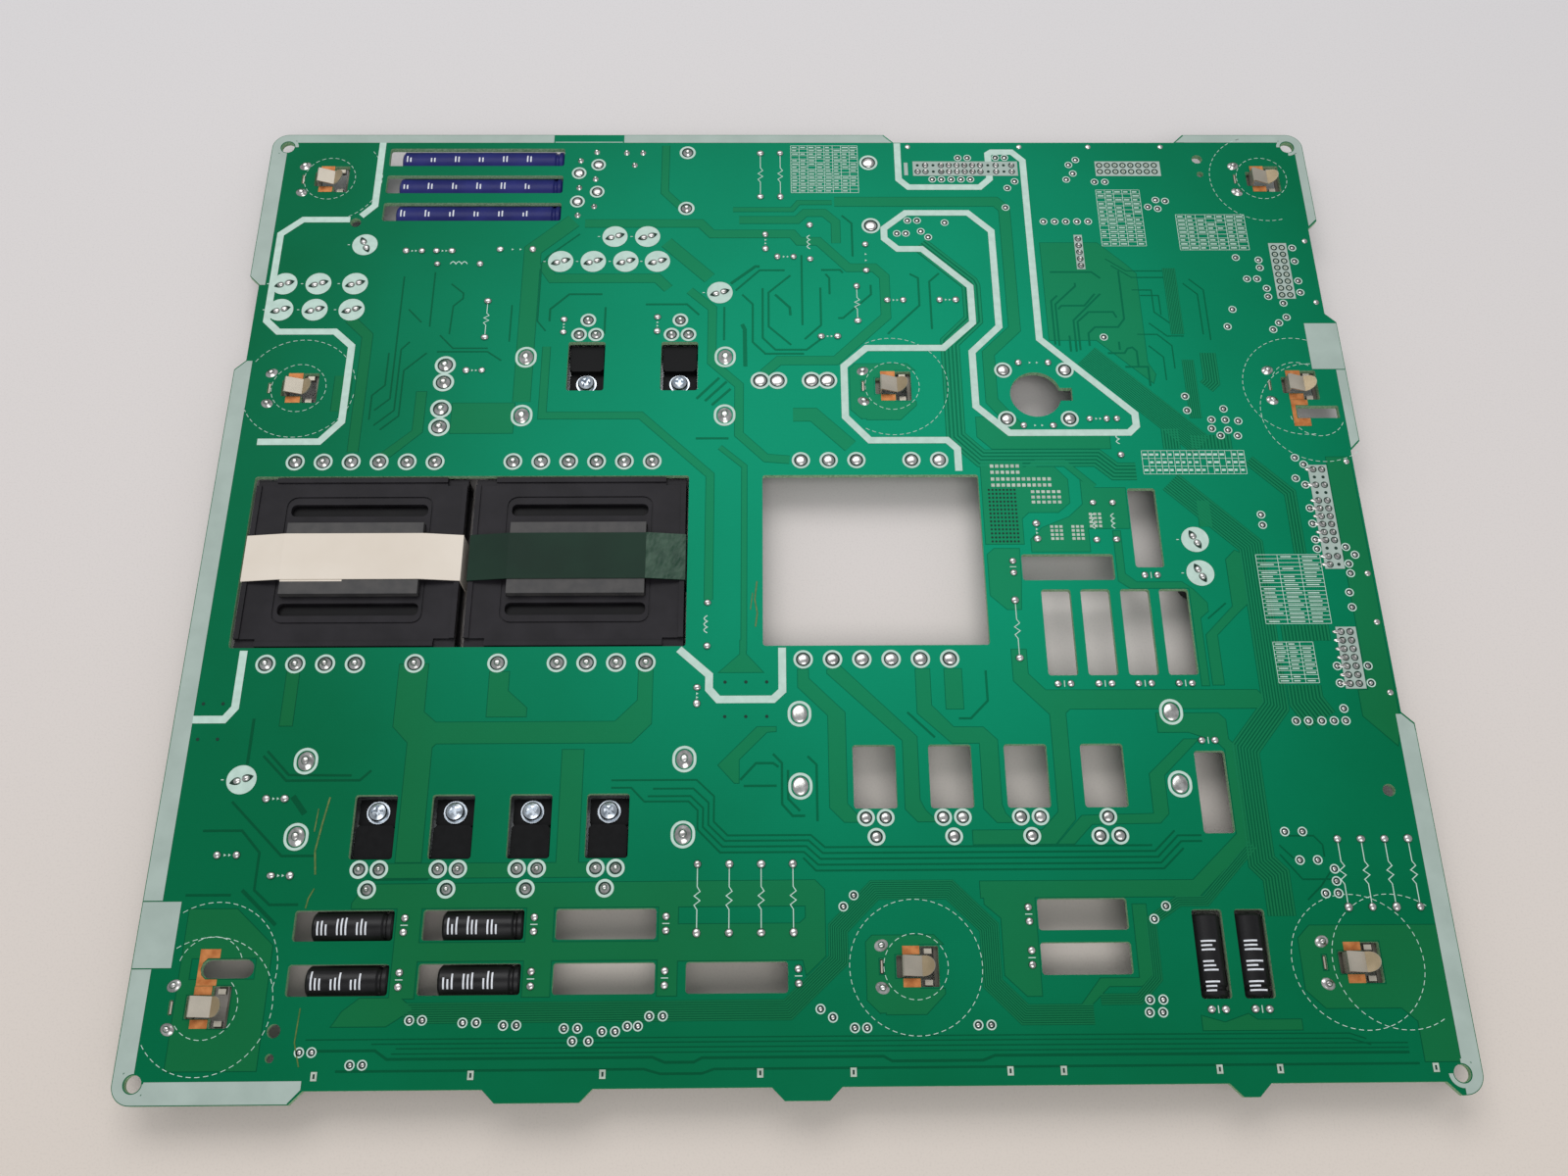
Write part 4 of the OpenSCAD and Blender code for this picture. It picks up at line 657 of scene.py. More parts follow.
# Narrow dark tracks and the gaps in the pours as (width, paths)
TRACKS = [
    (0.8, [
        [(79.5, 92.6), (92.3, 92.6), (94.8, 90.3)], [(81, 84), (79, 82), (79, 66.5)], [(83.5, 69.6), (83.5, 64)],
        [(86.8, 88.6), (86.8, 87.4), (80.2, 80.8), (80.2, 66)], [(92.5, 84.6), (89, 80.3), (82, 80.3), (80.9, 79)],
        [(94.2, 84.6), (85.2, 75), (85.2, 64)], [(98.4, 76), (97.5, 78), (90, 78), (86.4, 74.5), (86.4, 64.5)],
        [(100.6, 93), (100.6, 75.5), (98.5, 72.6), (91.5, 72.6), (89.3, 70.4), (89.3, 66)],
        [(98.2, 67.4), (98.2, 64.5)],
        [(94.5, 63.4), (99.5, 63.4), (100.5, 65), (102, 65.4), (103.2, 64), (103.2, 58.6)],
        [(99.2, 58.6), (106, 58.6), (106, 52)],
    ]),
    (0.5, [
        [(97, 97.5), (103, 93), (118, 93)], [(98.5, 95), (104.4, 90.6), (118, 90.6)],
        [(104, 86), (110, 86), (110, 78), (115, 73.4)], [(106.4, 84), (112, 84), (112, 77)],
        [(120, 88.4), (124, 84.4), (124, 70)], [(122, 90), (126, 86), (126, 68)],
        [(104, 70), (110, 70), (114, 66), (114, 58)], [(108, 74), (113, 69.4), (118, 69.4)],
        [(107, 66), (111, 62), (111, 54)],
    ]),
    (0.8, [
        [(16, 114), (19, 111), (19, 98.5)], [(3.2, 99), (3.2, 73.5)], [(9.2, 93.5), (15, 93.5), (15.8, 92.4)],
        [(10.5, 92), (11.6, 90.5), (11.6, 84.6)], [(8.8, 87), (8.8, 73.5), (3.8, 68.5)],
        [(-0.3, 91.5), (-7, 85.2), (-7, 73), (-0.3, 66.5)],
        [(-8.8, 86.8), (-8.8, 69), (-5, 64.8), (4.3, 64.8), (9, 68.8)],
        [(-15, 84.5), (-11.8, 81), (-11.8, 67.5), (-8, 63.4), (3.5, 63.4)], [(-17, 86), (-9.7, 93.4), (-2, 93.4)],
        [(-20.4, 80), (-20.4, 68.2)], [(24.2, 88), (24.2, 84.5), (15.5, 76), (14, 76)],
        [(36.3, 92), (38.8, 90.5), (38.8, 80.5), (28.8, 70.3)], [(45.3, 92.2), (42.2, 89.2), (42.2, 72)],
    ]),
    (1, [[(-5, 84.5), (-0.6, 79.8), (-0.4, 77)]]),
    (1.2, [[(-18.5, 88.5), (-11, 94.8), (-9.7, 94.8)]]),
    (1.6, [[(-15, 73.8), (-14.2, 72), (-14, 59)]]),
    (0.6, [
        [(-118.1, 91.2), (-118.1, 48.2), (-122.3, 44.3)], [(-108.8, 92.8), (-108.8, 73.2)],
        [(-115.6, 79.3), (-111.4, 74.7)],
        [(-103.5, 88.5), (-99.6, 85.1), (-99.6, 83.2), (-102.3, 80.5), (-102.7, 70.5)],
        [(-105.4, 70.1), (-101.2, 65.5), (-90.8, 65.5)], [(-105.8, 64.3), (-90.8, 64.3), (-86.5, 61.2)],
        [(-84.6, 80.8), (-84.6, 67.8)], [(-114.2, 67.8), (-116.5, 65.1), (-116.5, 44.3), (-121.9, 39.3)],
        [(-108.8, 63.9), (-115, 57.8), (-115, 42.4), (-120, 37.8)],
        [(-120, 63.9), (-120, 52.8), (-123.5, 49.3), (-123.5, 41.2)],
        [(-65.4, 107), (-75, 98.5), (-76.6, 96), (-76.6, 75), (-74, 71.6)],
    ]),
    (0.8, [
        [(-73, 75), (-73, 79.3), (-67.5, 84.7), (-57.5, 84.7)], [(-56.3, 80), (-56.3, 70.5)],
        [(-44.2, 81), (-31.7, 81), (-28, 77.2)],
    ]),
    (1, [[(-28.3, 48), (-21.7, 55.1)], [(-25.8, 47.2), (-19.5, 53.8)], [(-23.8, 45.8), (-18.3, 51.3)]]),
    (0.9, [[(-28.3, 34.7), (-18.8, 34.7)]]),
    (1, [[(-143.9, -49.6), (-143.9, -62)]]),
    (0.8, [
        [(-139.1, -58.5), (-132.7, -65), (-116.4, -65.2)], [(-154.5, -96), (-143.2, -96)],
        [(-140, -59.8), (-133.2, -66.5), (-114.1, -66.5), (-111.4, -63.9)],
        [(-146.4, -72), (-131.8, -86.2), (-123.6, -86.2)],
        [(-152.7, -79.6), (-142.7, -79.6), (-137.5, -85.3), (-137.5, -94.8), (-133.2, -98.5), (-126, -98.5)],
    ]),
    (2, [[(-130.9, -70.7), (-127.3, -75.3)]]),
    (1.2, [[(-140.5, -94.8), (-131, -103.5)]]),
    (0.6, [[(-108, -92.4), (-94, -92.4)]]),
    (0.8, [
        [(-14.1, -68.6), (-5.5, -68.6)], [(-15, -67), (-10.9, -62.5), (-6.4, -62.5), (-5, -63.5)],
        [(-6.4, -60), (-4.1, -62.5), (-4.1, -73.5), (-1.4, -76.6), (1.8, -76.6)],
        [(-2.5, -64.4), (-2.5, -72.1), (0.5, -75.3)], [(2.7, -60.7), (5, -63), (5, -78)],
        [(29.5, -48.7), (36.5, -55.7)], [(51.2, -37), (51.2, -45.6), (46.4, -50.5), (43.2, -50.5)],
    ]),
    (0.6, [
        [(-48.6, -66.9), (-26.4, -66.9), (-21.8, -71.3), (-21.8, -78), (-18.2, -81.6), (3.2, -81.6), (6.8, -84.8),
         (91, -84.8)],
        [(-37.7, -69.2), (-27.2, -69.2), (-23.2, -73), (-23.2, -78.8), (-18.9, -83), (2.6, -83), (6.2, -86.3),
         (91.6, -86.3), (97.2, -81)],
        [(-39, -71.2), (-27.9, -71.2), (-24.6, -74.4), (-24.6, -79.4), (-19.5, -84.5), (2, -84.5), (5.6, -87.8),
         (92.2, -87.8), (97.9, -82.3), (104, -82.3)],
        [(-48.6, -68.9), (-43.4, -68.9), (-39.9, -72.6), (-28.4, -72.6), (-26, -75), (-26, -80), (-20.1, -86),
         (1.4, -86), (5, -89.3), (92.8, -89.3), (98.6, -83.8), (104, -83.8)],
        [(1.2, -87.5), (4.4, -90.8), (93.4, -90.8), (99, -85.6)],
    ]),
    (0.35, [
        [(-120, -131), (60, -131.1), (134, -131.3), (138, -132.6)],
        [(-104, -132.1), (60, -132.2), (134, -132.5), (139, -134)], [(-98, -133.2), (60, -133.4), (148, -133.6)],
        [(-99, -134.4), (60, -134.6), (148, -134.7)],
    ]),
    (0.8, [
        [(-120, -133.6), (-103, -133.6), (-100, -135.6), (-36, -135.6), (-33, -136.8), (-26, -136.8), (-24, -135.8),
         (20, -135.8), (22, -136.9), (44, -136.9), (47, -135.8), (148, -135.8)],
    ]),
    (0.7, [[(-112, -138.3), (-38, -138.3), (-34, -139.4), (-24, -139.4), (-21, -138.4), (150, -138.4)]]),
    (0.5, [
        [(126, -82.6), (133, -82.6), (135, -85), (135, -88)], [(123.8, -85), (127, -88.4)],
        [(123.6, -87.4), (128.5, -93.8), (136, -93.8)], [(129, -99), (133, -95.5), (136, -91.8)],
    ]),
    (0.6, [[(51.7, 29), (66.9, 29)], [(113.5, -22.2), (119, -17.6)]]),
]
# Fine parallel tracks as (count, spacing, first path)
BUNDLES = [
    (5, 1.15, [(41.6, 104.6), (56.4, 90), (57.2, 88), (57.2, 74.4), (49.6, 66.4), (49.6, 36), (55.2, 30.2),
               (88.6, 30.2), (93.4, 25.8), (98.6, 25.8)]), (13, 0.62, [(90.6, 65.2), (121.2, 34.6)]),
    (6, 0.85, [(112, 37.4), (112, 30.8)]), (12, 1.0, [(127, 35.4), (127, 30.8)]), (8, 0.5, [(118, 94), (118, 70)]),
    (6, 0.6, [(119.6, 61), (119.6, 41)]), (6, 0.8, [(126.4, 63.4), (126.4, 52.6), (124, 50.2)]),
    (9, 0.8, [(110.4, 22.4), (131.6, 1.2), (131.6, -48.6), (121.8, -60.4), (121.8, -88), (125, -91.5), (125, -103)]),
    (4, 0.9, [(132.6, 28), (143.4, 17), (143.4, -2.6)]), (14, 0.95, [(146, -24.2), (146, -28.8)]),
    (10, 0.95, [(141.2, -41.6), (141.2, -45), (143.8, -49.4)]),
    (9, 0.55, [(-97, -122.8), (-4, -122.6), (7.4, -112), (7.4, -104.4), (18.2, -93.6), (39, -93.6), (49.8, -104.4),
               (49.8, -118), (56, -124.2), (72, -124.2)]),
    (5, 0.55, [(117.6, -85.6), (103.4, -100.2), (96.4, -100.2), (89.6, -104.6), (89.6, -118.4), (84, -124),
               (74, -124)]),
]

copper, edges, fine, gaps = Sheet(COPPER_LIFT), Sheet(EDGE_LIFT), Sheet(FINE_LIFT), Sheet(TRACK_LIFT)
EDGE_W, TRACK_SHARE, LINE_SHARE = 0.4, 0.75, 0.58


# Each pour and wide track lies on a wider, darker ribbon: painted shade along the copper's edge
def pour(points):
    copper.shape(points)
    edges.outline(points, EDGE_W)


for points in POURS:
    pour(points)
for box in RECT_POURS:
    pour(rect_points(*box))
for width, path in STRIPS:
    edges.strip(path, width + EDGE_W)
    copper.strip(path, width)
for width, paths in TRACKS:
    for path in paths:
        gaps.strip(path, width * TRACK_SHARE)
for count, spacing, path in BUNDLES:
    edges.strip(shifted(path, -(count - 1) * spacing / 2), count * spacing)
    for i in range(count):
        fine.strip(shifted(path, -i * spacing), spacing * LINE_SHARE)

# Pours round two clips, in pieces from the clip's middle that leave its window and key slot open
CLIP_POURS = [
    [(-13, -8), (-10, -11), (-10, 7.6), (-11.4, 7.6), (-13, 6)],
    [(-6, -11.4), (1.4, -11.4), (6.2, -6.6), (6.2, -5.4), (-6, -5.4)],
    [(-6, 5.4), (6.2, 5.4), (4, 7.6), (-6, 7.6)],
    rect_points(-10, -8.4, 2.1, 7.6), rect_points(-10, -8.4, -11, -2.1), rect_points(-8.4, -6, -11.4, 7.6),
    rect_points(-6, 0.1, 3, 5.4), rect_points(-6, 0.1, -5.4, -3),
]
for cx, cy in ((30.0, 52.2), (29.5, -114.7)):
    for points in CLIP_POURS:
        pour([(cx + x, cy + y) for x, y in points])
edges.build("mask_edges", EDGE_MASK)
copper.build("mask_over_copper", COPPER_MASK)
fine.build("fine_tracks", FINE_MASK)
gaps.build("dark_tracks", EDGE_MASK)

# Silkscreen
silk, border = Sheet(SILK_LIFT), Sheet(SILK_LIFT)

CORNER_R, HOLE_R, HOLE_LAND_R = 4.8, 2.35, 3.4
# Strips of the border as (x0, x1, y0, y1), and the slanted ends where it meets a step of the outline
BORDER_RECTS = [
    (-164.8, -160, 91.4, 138.2), (-164.8, -162.6, 138.2, 140.8), (-164.8, -160, -97.3, 58),
    (-164.8, -160, -138.2, -114.1), (-164.8, -162.6, -140.8, -138.2), (-160, -157.4, -145.6, -143.4),
    (-157.4, -122.6, -145.6, -140.4), (-160, -157.4, 143.4, 145.6), (-157.4, -75.4, 142.6, 145.6),
    (-53, 30, 142.6, 145.6), (127, 157.4, 142.7, 145.6), (157.4, 160, 143.4, 145.6), (162.6, 164.8, 138.2, 140.8),
    (162.2, 164.8, 112.2, 138.2), (162.1, 164.8, 33.5, 57.4), (160.3, 164.8, -138.2, -54.4),
    (162.6, 164.8, -140.8, -138.2),
]
BORDER_ENDS = [
    [(-164.8, 91.4), (-160, 91.4), (-160, 88.2), (-161.6, 88.2)],
    [(-161.6, 61.2), (-160, 61.2), (-160, 58), (-164.8, 58)],
    [(-122.6, -140.4), (-122.6, -145.4), (-119.8, -142.4), (-119.8, -140.4)],
    [(160.3, -54.4), (164.7, -54.4), (164.7, -52.8), (161.8, -49.9), (160.3, -49.9)],
    [(127, 145.4), (124.2, 142.75), (127, 142.75)], [(30, 142.6), (32.8, 142.6), (30, 145.4)],
    [(162.2, 112.2), (162.2, 109.8), (164.6, 112.2)], [(162.1, 33.5), (162.1, 31), (164.6, 33.5)],
]
for box in BORDER_RECTS:
    border.rect(*box)
for points in BORDER_ENDS:
    border.shape(points)
for centre, start in (((-160, 140.8), 90), ((160, 140.8), 0), ((-160, -140.8), 180), ((160, -140.8), 270)):
    border.ring(centre, CORNER_R, HOLE_R, 12, start, 90)
    border.ring(centre, HOLE_LAND_R, HOLE_R, 8, start + 90, 90)
    border.ring(centre, HOLE_LAND_R, HOLE_R, 8, start + 270, 90)

# Two bare blocks at the sides, and the line under a bare field in the back border
SIDE_BLOCKS, FIELD_LINE = [(-164.8, -155.2, -113.8, -97.6), (155, 164.8, 57.7, 73.8)], (-75, -53.4, 142.7, 142.95)
for box in SIDE_BLOCKS:
    border.rect(*box)
border.build("border_print", BORDER)
silk.rect(*FIELD_LINE)

ISOLATION_W = 2.1
for path in (
    [(-129.9, 142.6), (-129.9, 117.9), (-133.7, 113.8)],
    [(-137, 112.5), (-151.5, 112.5), (-157.8, 107), (-157.8, 75.3), (-153.8, 71.4), (-136.8, 71.4), (-131.3, 66.3),
     (-131.3, 40.5), (-137, 33.9), (-154.8, 33.9)],
    [(-149.35, -30.4), (-149.35, -46.5), (-151.8, -49.8), (-160, -49.8)],
    [(-31.8, -30.5), (-23.5, -38), (-23.5, -42), (-21, -44.9), (-6.3, -44.9), (-3.8, -42.5), (-3.8, -30.2)],
    [(34.4, 142.4), (34.4, 128), (37.4, 124.95), (60, 124.95), (63.3, 128.2), (63.3, 138), (64.5, 138.85), (71, 138.85),
     (74.3, 135.4), (74.3, 68.4), (100.3, 42.5), (100.3, 38.5), (98, 36.25), (63, 36.25), (53.75, 45.2), (53.75, 63.9),
     (62.45, 72.8), (62.45, 108), (55.5, 114.95), (36, 114.95), (29, 109), (29, 105.2), (33, 101.25), (40.5, 101.25),
     (54.6, 87.3), (54.6, 74.3), (45.3, 65.3), (22.1, 65.3), (15.3, 59), (15.3, 41.7), (22.2, 33.9), (44.7, 33.9),
     (47.5, 31), (47.5, 23.8)],
):
    silk.strip(path, ISOLATION_W)

# Keep-out circles round the ground clips: centre, radius, start and sweep of the arc that stays on the board
CIRCLES = [
    ((-145.2, 128.4), 8.0, 0, 360), ((-145.2, 128.4), 16.5, 283, 120), ((-145.2, 51.9), 8.0, 0, 360),
    ((-145.2, 51.9), 16.5, 10, 140), ((-145.2, 51.9), 16.5, 205, 150), ((29.4, 52.2), 8.0, 0, 360),
    ((29.4, 52.2), 16.5, -120, 240), ((150, 128.4), 8.0, 0, 360), ((150, 128.4), 16.5, 108, 180),
    ((150, 52), 8.0, 60, 100), ((150, 52), 16.5, 73, 209), ((154, 43), 8.0, 190, 150), ((154, 43), 16.5, 88, 222),
    ((-145.6, -122.9), 8.0, 215, 195), ((-145.6, -122.9), 16.5, 213, 273), ((-145.6, -114.3), 8.0, 21, 149),
    ((-145.6, -114.3), 16.5, -15, 140), ((28.8, -114.7), 8.0, 0, 360), ((28.8, -114.7), 16.5, 0, 360),
    ((139.1, -114.2), 16.5, 0, 360), ((149.3, -114.2), 16.5, 55, 250),
]
DASH_W, DASH_RATE, FEWEST_DASHES = 0.17, 3.1, 4
for centre, radius, start, sweep in CIRCLES:
    count = max(int(radius * sweep / FULL_TURN * DASH_RATE), FEWEST_DASHES)
    silk.dashes(centre, radius, DASH_W, count, start, sweep)

# Printed tables as (x0, x1, y0, y1, columns, rows); strokes are measured in shares of a cell
TABLES = [
    (0.3, 21.6, 122.8, 141.4, 8, 14), (96.6, 110.4, 102.3, 123.8, 5, 14), (120.8, 142.3, 100.8, 114.2, 7, 9),
    (100.8, 130.6, 22.6, 30.2, 16, 3), (129.3, 147.4, -23.8, -3, 3, 17), (130.3, 141.3, -41, -29.2, 3, 10),
]
TABLE_LINE_W, STROKE_CHANCE = 0.16, 0.85
STROKE_INSET, STROKE_HALF, STROKE_LENGTHS = 0.15, 0.14, (0.45, 0.75)


def table(x0, x1, y0, y1, columns, rows):
    """Plain grid with a stroke in most of its cells."""
    silk.grid(x0, x1, y0, y1, columns, rows, TABLE_LINE_W)
    w, h = (x1 - x0) / columns, (y1 - y0) / rows
    for i in range(columns):
        for j in range(rows):
            if rng.random() < STROKE_CHANCE:
                x, y = x0 + i * w + STROKE_INSET * w, y0 + (j + 0.5) * h
                silk.rect(x, x + w * rng.uniform(*STROKE_LENGTHS), y - h * STROKE_HALF, y + h * STROKE_HALF)


for place in TABLES:
    table(*place)

joints, beads, pads, gap_shade = Turned(), Turned(), Sheet(LAND_LIFT), Sheet(LAND_LIFT)
GAP_W, RIM_UNDER = 0.3, 0.1


def ringed_joint(place, outer, solder, height, form):
    """Printed ring round a soldered hole, with painted shade in the gap between the ring and the solder."""
    silk.ring(place, outer, solder + GAP_W)
    gap_shade.ring(place, solder + GAP_W, solder - RIM_UNDER, 20)
    joints.add(place, form(solder, height), 18, turn=jitter(180), stretch=uneven(0.05), lean=slant(0.08))


OVAL_OUT, OVAL_IN, OVAL_HALF = 3.15, 2.42, 0.45
LEG_SOLDER_R, LEG_STRETCH = 2.15, (1.0, 1.2)


def oval_joint(place, height, form):
    """Long printed ring round a heat sink leg's joint."""
    x, y = place
    for end, start in ((OVAL_HALF, 0), (-OVAL_HALF, 180)):
        silk.ring((x, y + end), OVAL_OUT, OVAL_IN, 16, start, 180)
    silk.rect(x - OVAL_OUT, x - OVAL_IN, y - OVAL_HALF, y + OVAL_HALF)
    silk.rect(x + OVAL_IN, x + OVAL_OUT, y - OVAL_HALF, y + OVAL_HALF)
    joints.add(place, form(LEG_SOLDER_R, height), 20, stretch=LEG_STRETCH, lean=slant(0.05))


# Ringed joints: places, radius of the print, radius and height of the solder, and its form
for places, outer, radius, height, form in (
    (PINS, 2.7, 1.75, 1.15, cone), (SPARE_PINS + HOLE_RINGS, 2.65, 1.7, 0.55, blob),
    (FET_JOINTS, 2.35, 1.35, 1.05, cone), (SPARE_FET_JOINTS, 2.3, 1.35, 0.45, blob),
    (FILTER_PINS, 3.1, 2.0, 1.2, cone), (FILM_PINS, 2.55, 1.55, 1.1, cone), (SPARE_RINGS, 2.9, 1.9, 0.4, blob),
):
    for place in places:
        ringed_joint(place, outer, radius, height, form)
for place in SINK_LEGS:
    oval_joint(place, 1.1, cone)
for place in SPARE_LEGS:
    oval_joint(place, 0.45, blob)
for place in BULK_RINGS:
    ringed_joint(place, 2.3, 1.4, 0.4, blob)
for place in BULK_JOINTS + LONE_JOINTS:
    joints.add(place, cone(0.95, 0.8), 12, stretch=(1, 1.15), lean=slant(0.15))
CLIP_LEG_OUT, CLIP_LEG_TURN = 5.15, 25
for x, y in CLIPS:
    for side in (-1, 1):
        joints.add((x, y + side * CLIP_LEG_OUT), cone(1.75, 0.95), 16, stretch=(1.05, 0.85), turn=side * CLIP_LEG_TURN)

# White discs of the upright capacitors, each with two drop-shaped openings of the print round a joint, filled with
# painted shade
leaves = Sheet(LAND_LIFT)
LEAF_L, LEAF_W, LEAF_OUT, LEAF_POINTS, LEAF_TAPER = 1.55, 1.3, 1.65, 18, 0.8
LEAF_TURN, LEAF_TURN_MORE = 18, 98
LEAF_BEAD_R, LEAF_BEAD_H, LEAF_BEAD_BACK = 0.92, 0.6, 0.5
WHITE_DISC_R, TICK_OUT, TICK_L, TICK_HALF = 3.9, 4.6, 0.7, 0.13


def drop_shape(middle, axis, across):
    """Outline that is round at one end and narrow at the other."""
    drop = []
    for i in range(LEAF_POINTS):
        t = 2 * math.pi * i / LEAF_POINTS
        out = LEAF_W * math.sin(t) * math.sin(t / 2) ** LEAF_TAPER
        drop.append(tuple(middle + axis * (LEAF_L * math.cos(t)) + across * out))
    return drop


def upright_joint(place, turn_more):
    silk.disc(place, WHITE_DISC_R, 30)
    for side in (0, 180):
        turn = math.radians(LEAF_TURN + side + turn_more)
        axis, across = Vector((math.cos(turn), math.sin(turn))), Vector((-math.sin(turn), math.cos(turn)))
        middle = Vector(place) + axis * LEAF_OUT
        leaves.shape(drop_shape(middle, axis, across))
        bead = blob(LEAF_BEAD_R, LEAF_BEAD_H)
        beads.add(tuple(middle - axis * LEAF_BEAD_BACK), bead, 12, stretch=(1.2, 0.95), turn=math.degrees(turn))
    x, y = place
    silk.rect(x - TICK_OUT - TICK_L, x - TICK_OUT, y - TICK_HALF, y + TICK_HALF)


for place in UPRIGHTS:
    upright_joint(place, 0)
for place in UPRIGHTS_TURNED:
    upright_joint(place, LEAF_TURN_MORE)

# Joints of the output capacitors with a printed stroke between them
OUTPUT_HALF, MARK_HALF_L, MARK_HALF_W = 1.75, 0.9, 0.12
for x, y in OUTPUT_PAIRS:
    for side in (-OUTPUT_HALF, OUTPUT_HALF):
        beads.add((x, y + side), blob(1.05, 0.7), 14, lean=slant(0.2))
    silk.bar((x, y), MARK_HALF_L, MARK_HALF_W)
for x, y in OUTPUT_PAIRS_TURNED:
    for side in (-OUTPUT_HALF, OUTPUT_HALF):
        beads.add((x + side, y), blob(1.05, 0.7), 14, lean=slant(0.2))
    silk.bar((x, y), MARK_HALF_W, MARK_HALF_L)


def part_way(start, end, share):
    return start[0] + (end[0] - start[0]) * share, start[1] + (end[1] - start[1]) * share


def two_joints(pair, radius):
    for place in pair:
        beads.add(place, blob(radius, 0.75), 14, stretch=uneven(0.1), lean=slant(0.15))


def marks_along(pair, offsets, width):
    """A printed stroke along a part, bent sideways by the offsets at even steps."""
    start, end = Vector(pair[0]), Vector(pair[1])
    along = (end - start).normalized()
    across = Vector((-along.y, along.x))
    last = len(offsets) - 1
    silk.strip([tuple(start.lerp(end, i / last) + across * o) for i, o in enumerate(offsets)], width)


ZIGZAG = [0] * 6 + [0.75, -0.75, 0.75, -0.75] + [0] * 6
WAVE = [0.9 * abs(math.sin(math.pi * i / 4)) for i in range(13)]
for pair in RESISTORS:
    two_joints(pair, 1.15)
    marks_along(pair, ZIGZAG, 0.24)
for pair in COILS:
    two_joints(pair, 1.05)
    marks_along([part_way(*pair, 0.3), part_way(*pair, 0.7)], WAVE, 0.3)
for pair in DISCS + DIODES:
    two_joints(pair, 1.1)
    for share in (0.38, 0.62):
        silk.disc(part_way(*pair, share), 0.42, 3)

# Test pads: printed ring, painted shade in the gap, and a flat bead of solder
TEST_RING_R, TEST_GAP_R, TEST_LAND_R = 1.25, 0.9, 0.5
for place in TEST_PADS:
    silk.ring(place, TEST_RING_R, TEST_GAP_R, 16)
    gap_shade.ring(place, TEST_GAP_R, TEST_LAND_R, 14)
    beads.add(place, blob(0.55, 0.16), 10)
for place in EDGE_JOINTS:
    beads.add(place, blob(0.9, 0.3), 10)
# Slotted pads: tinned lands round a dark bar of painted shade in the milled slot
PAD_HALF, SLOT_HALF = (0.75, 1.05), (0.26, 0.55)
slots = Sheet(LAND_LIFT)
for x, y in SLOTTED_PADS:
    for side in (-1, 1):
        low, high = sorted((y + side * SLOT_HALF[1], y + side * PAD_HALF[1]))
        pads.rect(x - PAD_HALF[0], x + PAD_HALF[0], low, high)
        left, right = sorted((x + side * SLOT_HALF[0], x + side * PAD_HALF[0]))
        pads.rect(left, right, y - SLOT_HALF[1], y + SLOT_HALF[1])
    slots.bar((x, y), *SLOT_HALF)

# Header blocks: print, joints, painted shade in the gaps round the joints, and dark discs of painted shade in the
# drilled holes where nothing is fitted
holes, blocks = Sheet(LAND_LIFT), Sheet(BLOCK_LIFT)
CONTACT_RIM_R, CONTACT_LAND_R, DRILL_R = 1.05, 0.7, 0.5
SPARE_LAND_R, SPARE_HOLE_R = 0.6, 0.18
CONTACT_TAIL, OUTER_COLUMN_X = 1.1, 151
HEADER_BLOCKS = [
    (39.1, 72.5, 129.4, 135.1), (97.3, 118.1, 129.3, 135.1), (148.4, 154, 82.7, 103.3), (148.35, 153.9, -7.4, 25.4),
    (148.2, 153.8, -42.7, -24.8), (88, 90.6, 93.6, 106.5), (36.3, 37.5, 129.6, 134.6),
]
for box in HEADER_BLOCKS:
    blocks.rect(*box)
for place in TOP_HEADER + RIGHT_HEADER + LOW_HEADER + SMALL_HEADER:
    gap_shade.ring(place, CONTACT_RIM_R, CONTACT_LAND_R, 14)
    beads.add(place, cone(0.85, 0.85), 12, lean=slant(0.15))
for x, y in RIGHT_HEADER + LOW_HEADER:
    if x < OUTER_COLUMN_X:
        beads.add((x - CONTACT_TAIL, y), blob(0.7, 0.3), 10, stretch=(1.9, 0.8))
for place in SPARE_TOP + SPARE_RIGHT:
    gap_shade.ring(place, CONTACT_RIM_R, SPARE_LAND_R, 14)
    pads.ring(place, SPARE_LAND_R, SPARE_HOLE_R, 14)
    holes.disc(place, SPARE_HOLE_R, 12)
for i, j in sorted(TOP_HEADER_GAPS):
    holes.disc((TOP_HEADER_AT[0] + i * HEADER_PITCH, TOP_HEADER_AT[1] + j * HEADER_PITCH), DRILL_R, 12)
for i, j in sorted(RIGHT_HEADER_GAPS):
    holes.disc((RIGHT_HEADER_AT[0] + j * HEADER_PITCH, RIGHT_HEADER_AT[1] - i * HEADER_PITCH), DRILL_R, 12)

# Unsoldered lands right of the big window: first place, step, width and half height, then each row's place and count
LAND_ROWS = [
    (56.5, 1.48, 1.0, 0.52, [(25.3, 6), (23.3, 6), (21.1, 12), (19.15, 12)]),
    (67.7, 1.5, 1.0, 0.45, [(17, 6), (15.3, 6), (13.7, 6)]),
]
for x0, step, width, half, rows in LAND_ROWS:
    for y, count in rows:
        for i in range(count):
            pads.rect(x0 + step * i, x0 + width + step * i, y - half, y + half)
CELL_STEP_X, CELL_STEP_Y, CELL_W, CELL_HALF = 1.3, 1.25, 0.9, 0.4
for x0, y0 in ((72.3, 2.2), (78.3, 2.2), (83.6, 6.1)):
    for i, j in cross_places(range(3), range(4)):
        x, y = x0 + CELL_STEP_X * i, y0 + CELL_STEP_Y * j
        pads.rect(x, x + CELL_W, y - CELL_HALF, y + CELL_HALF)
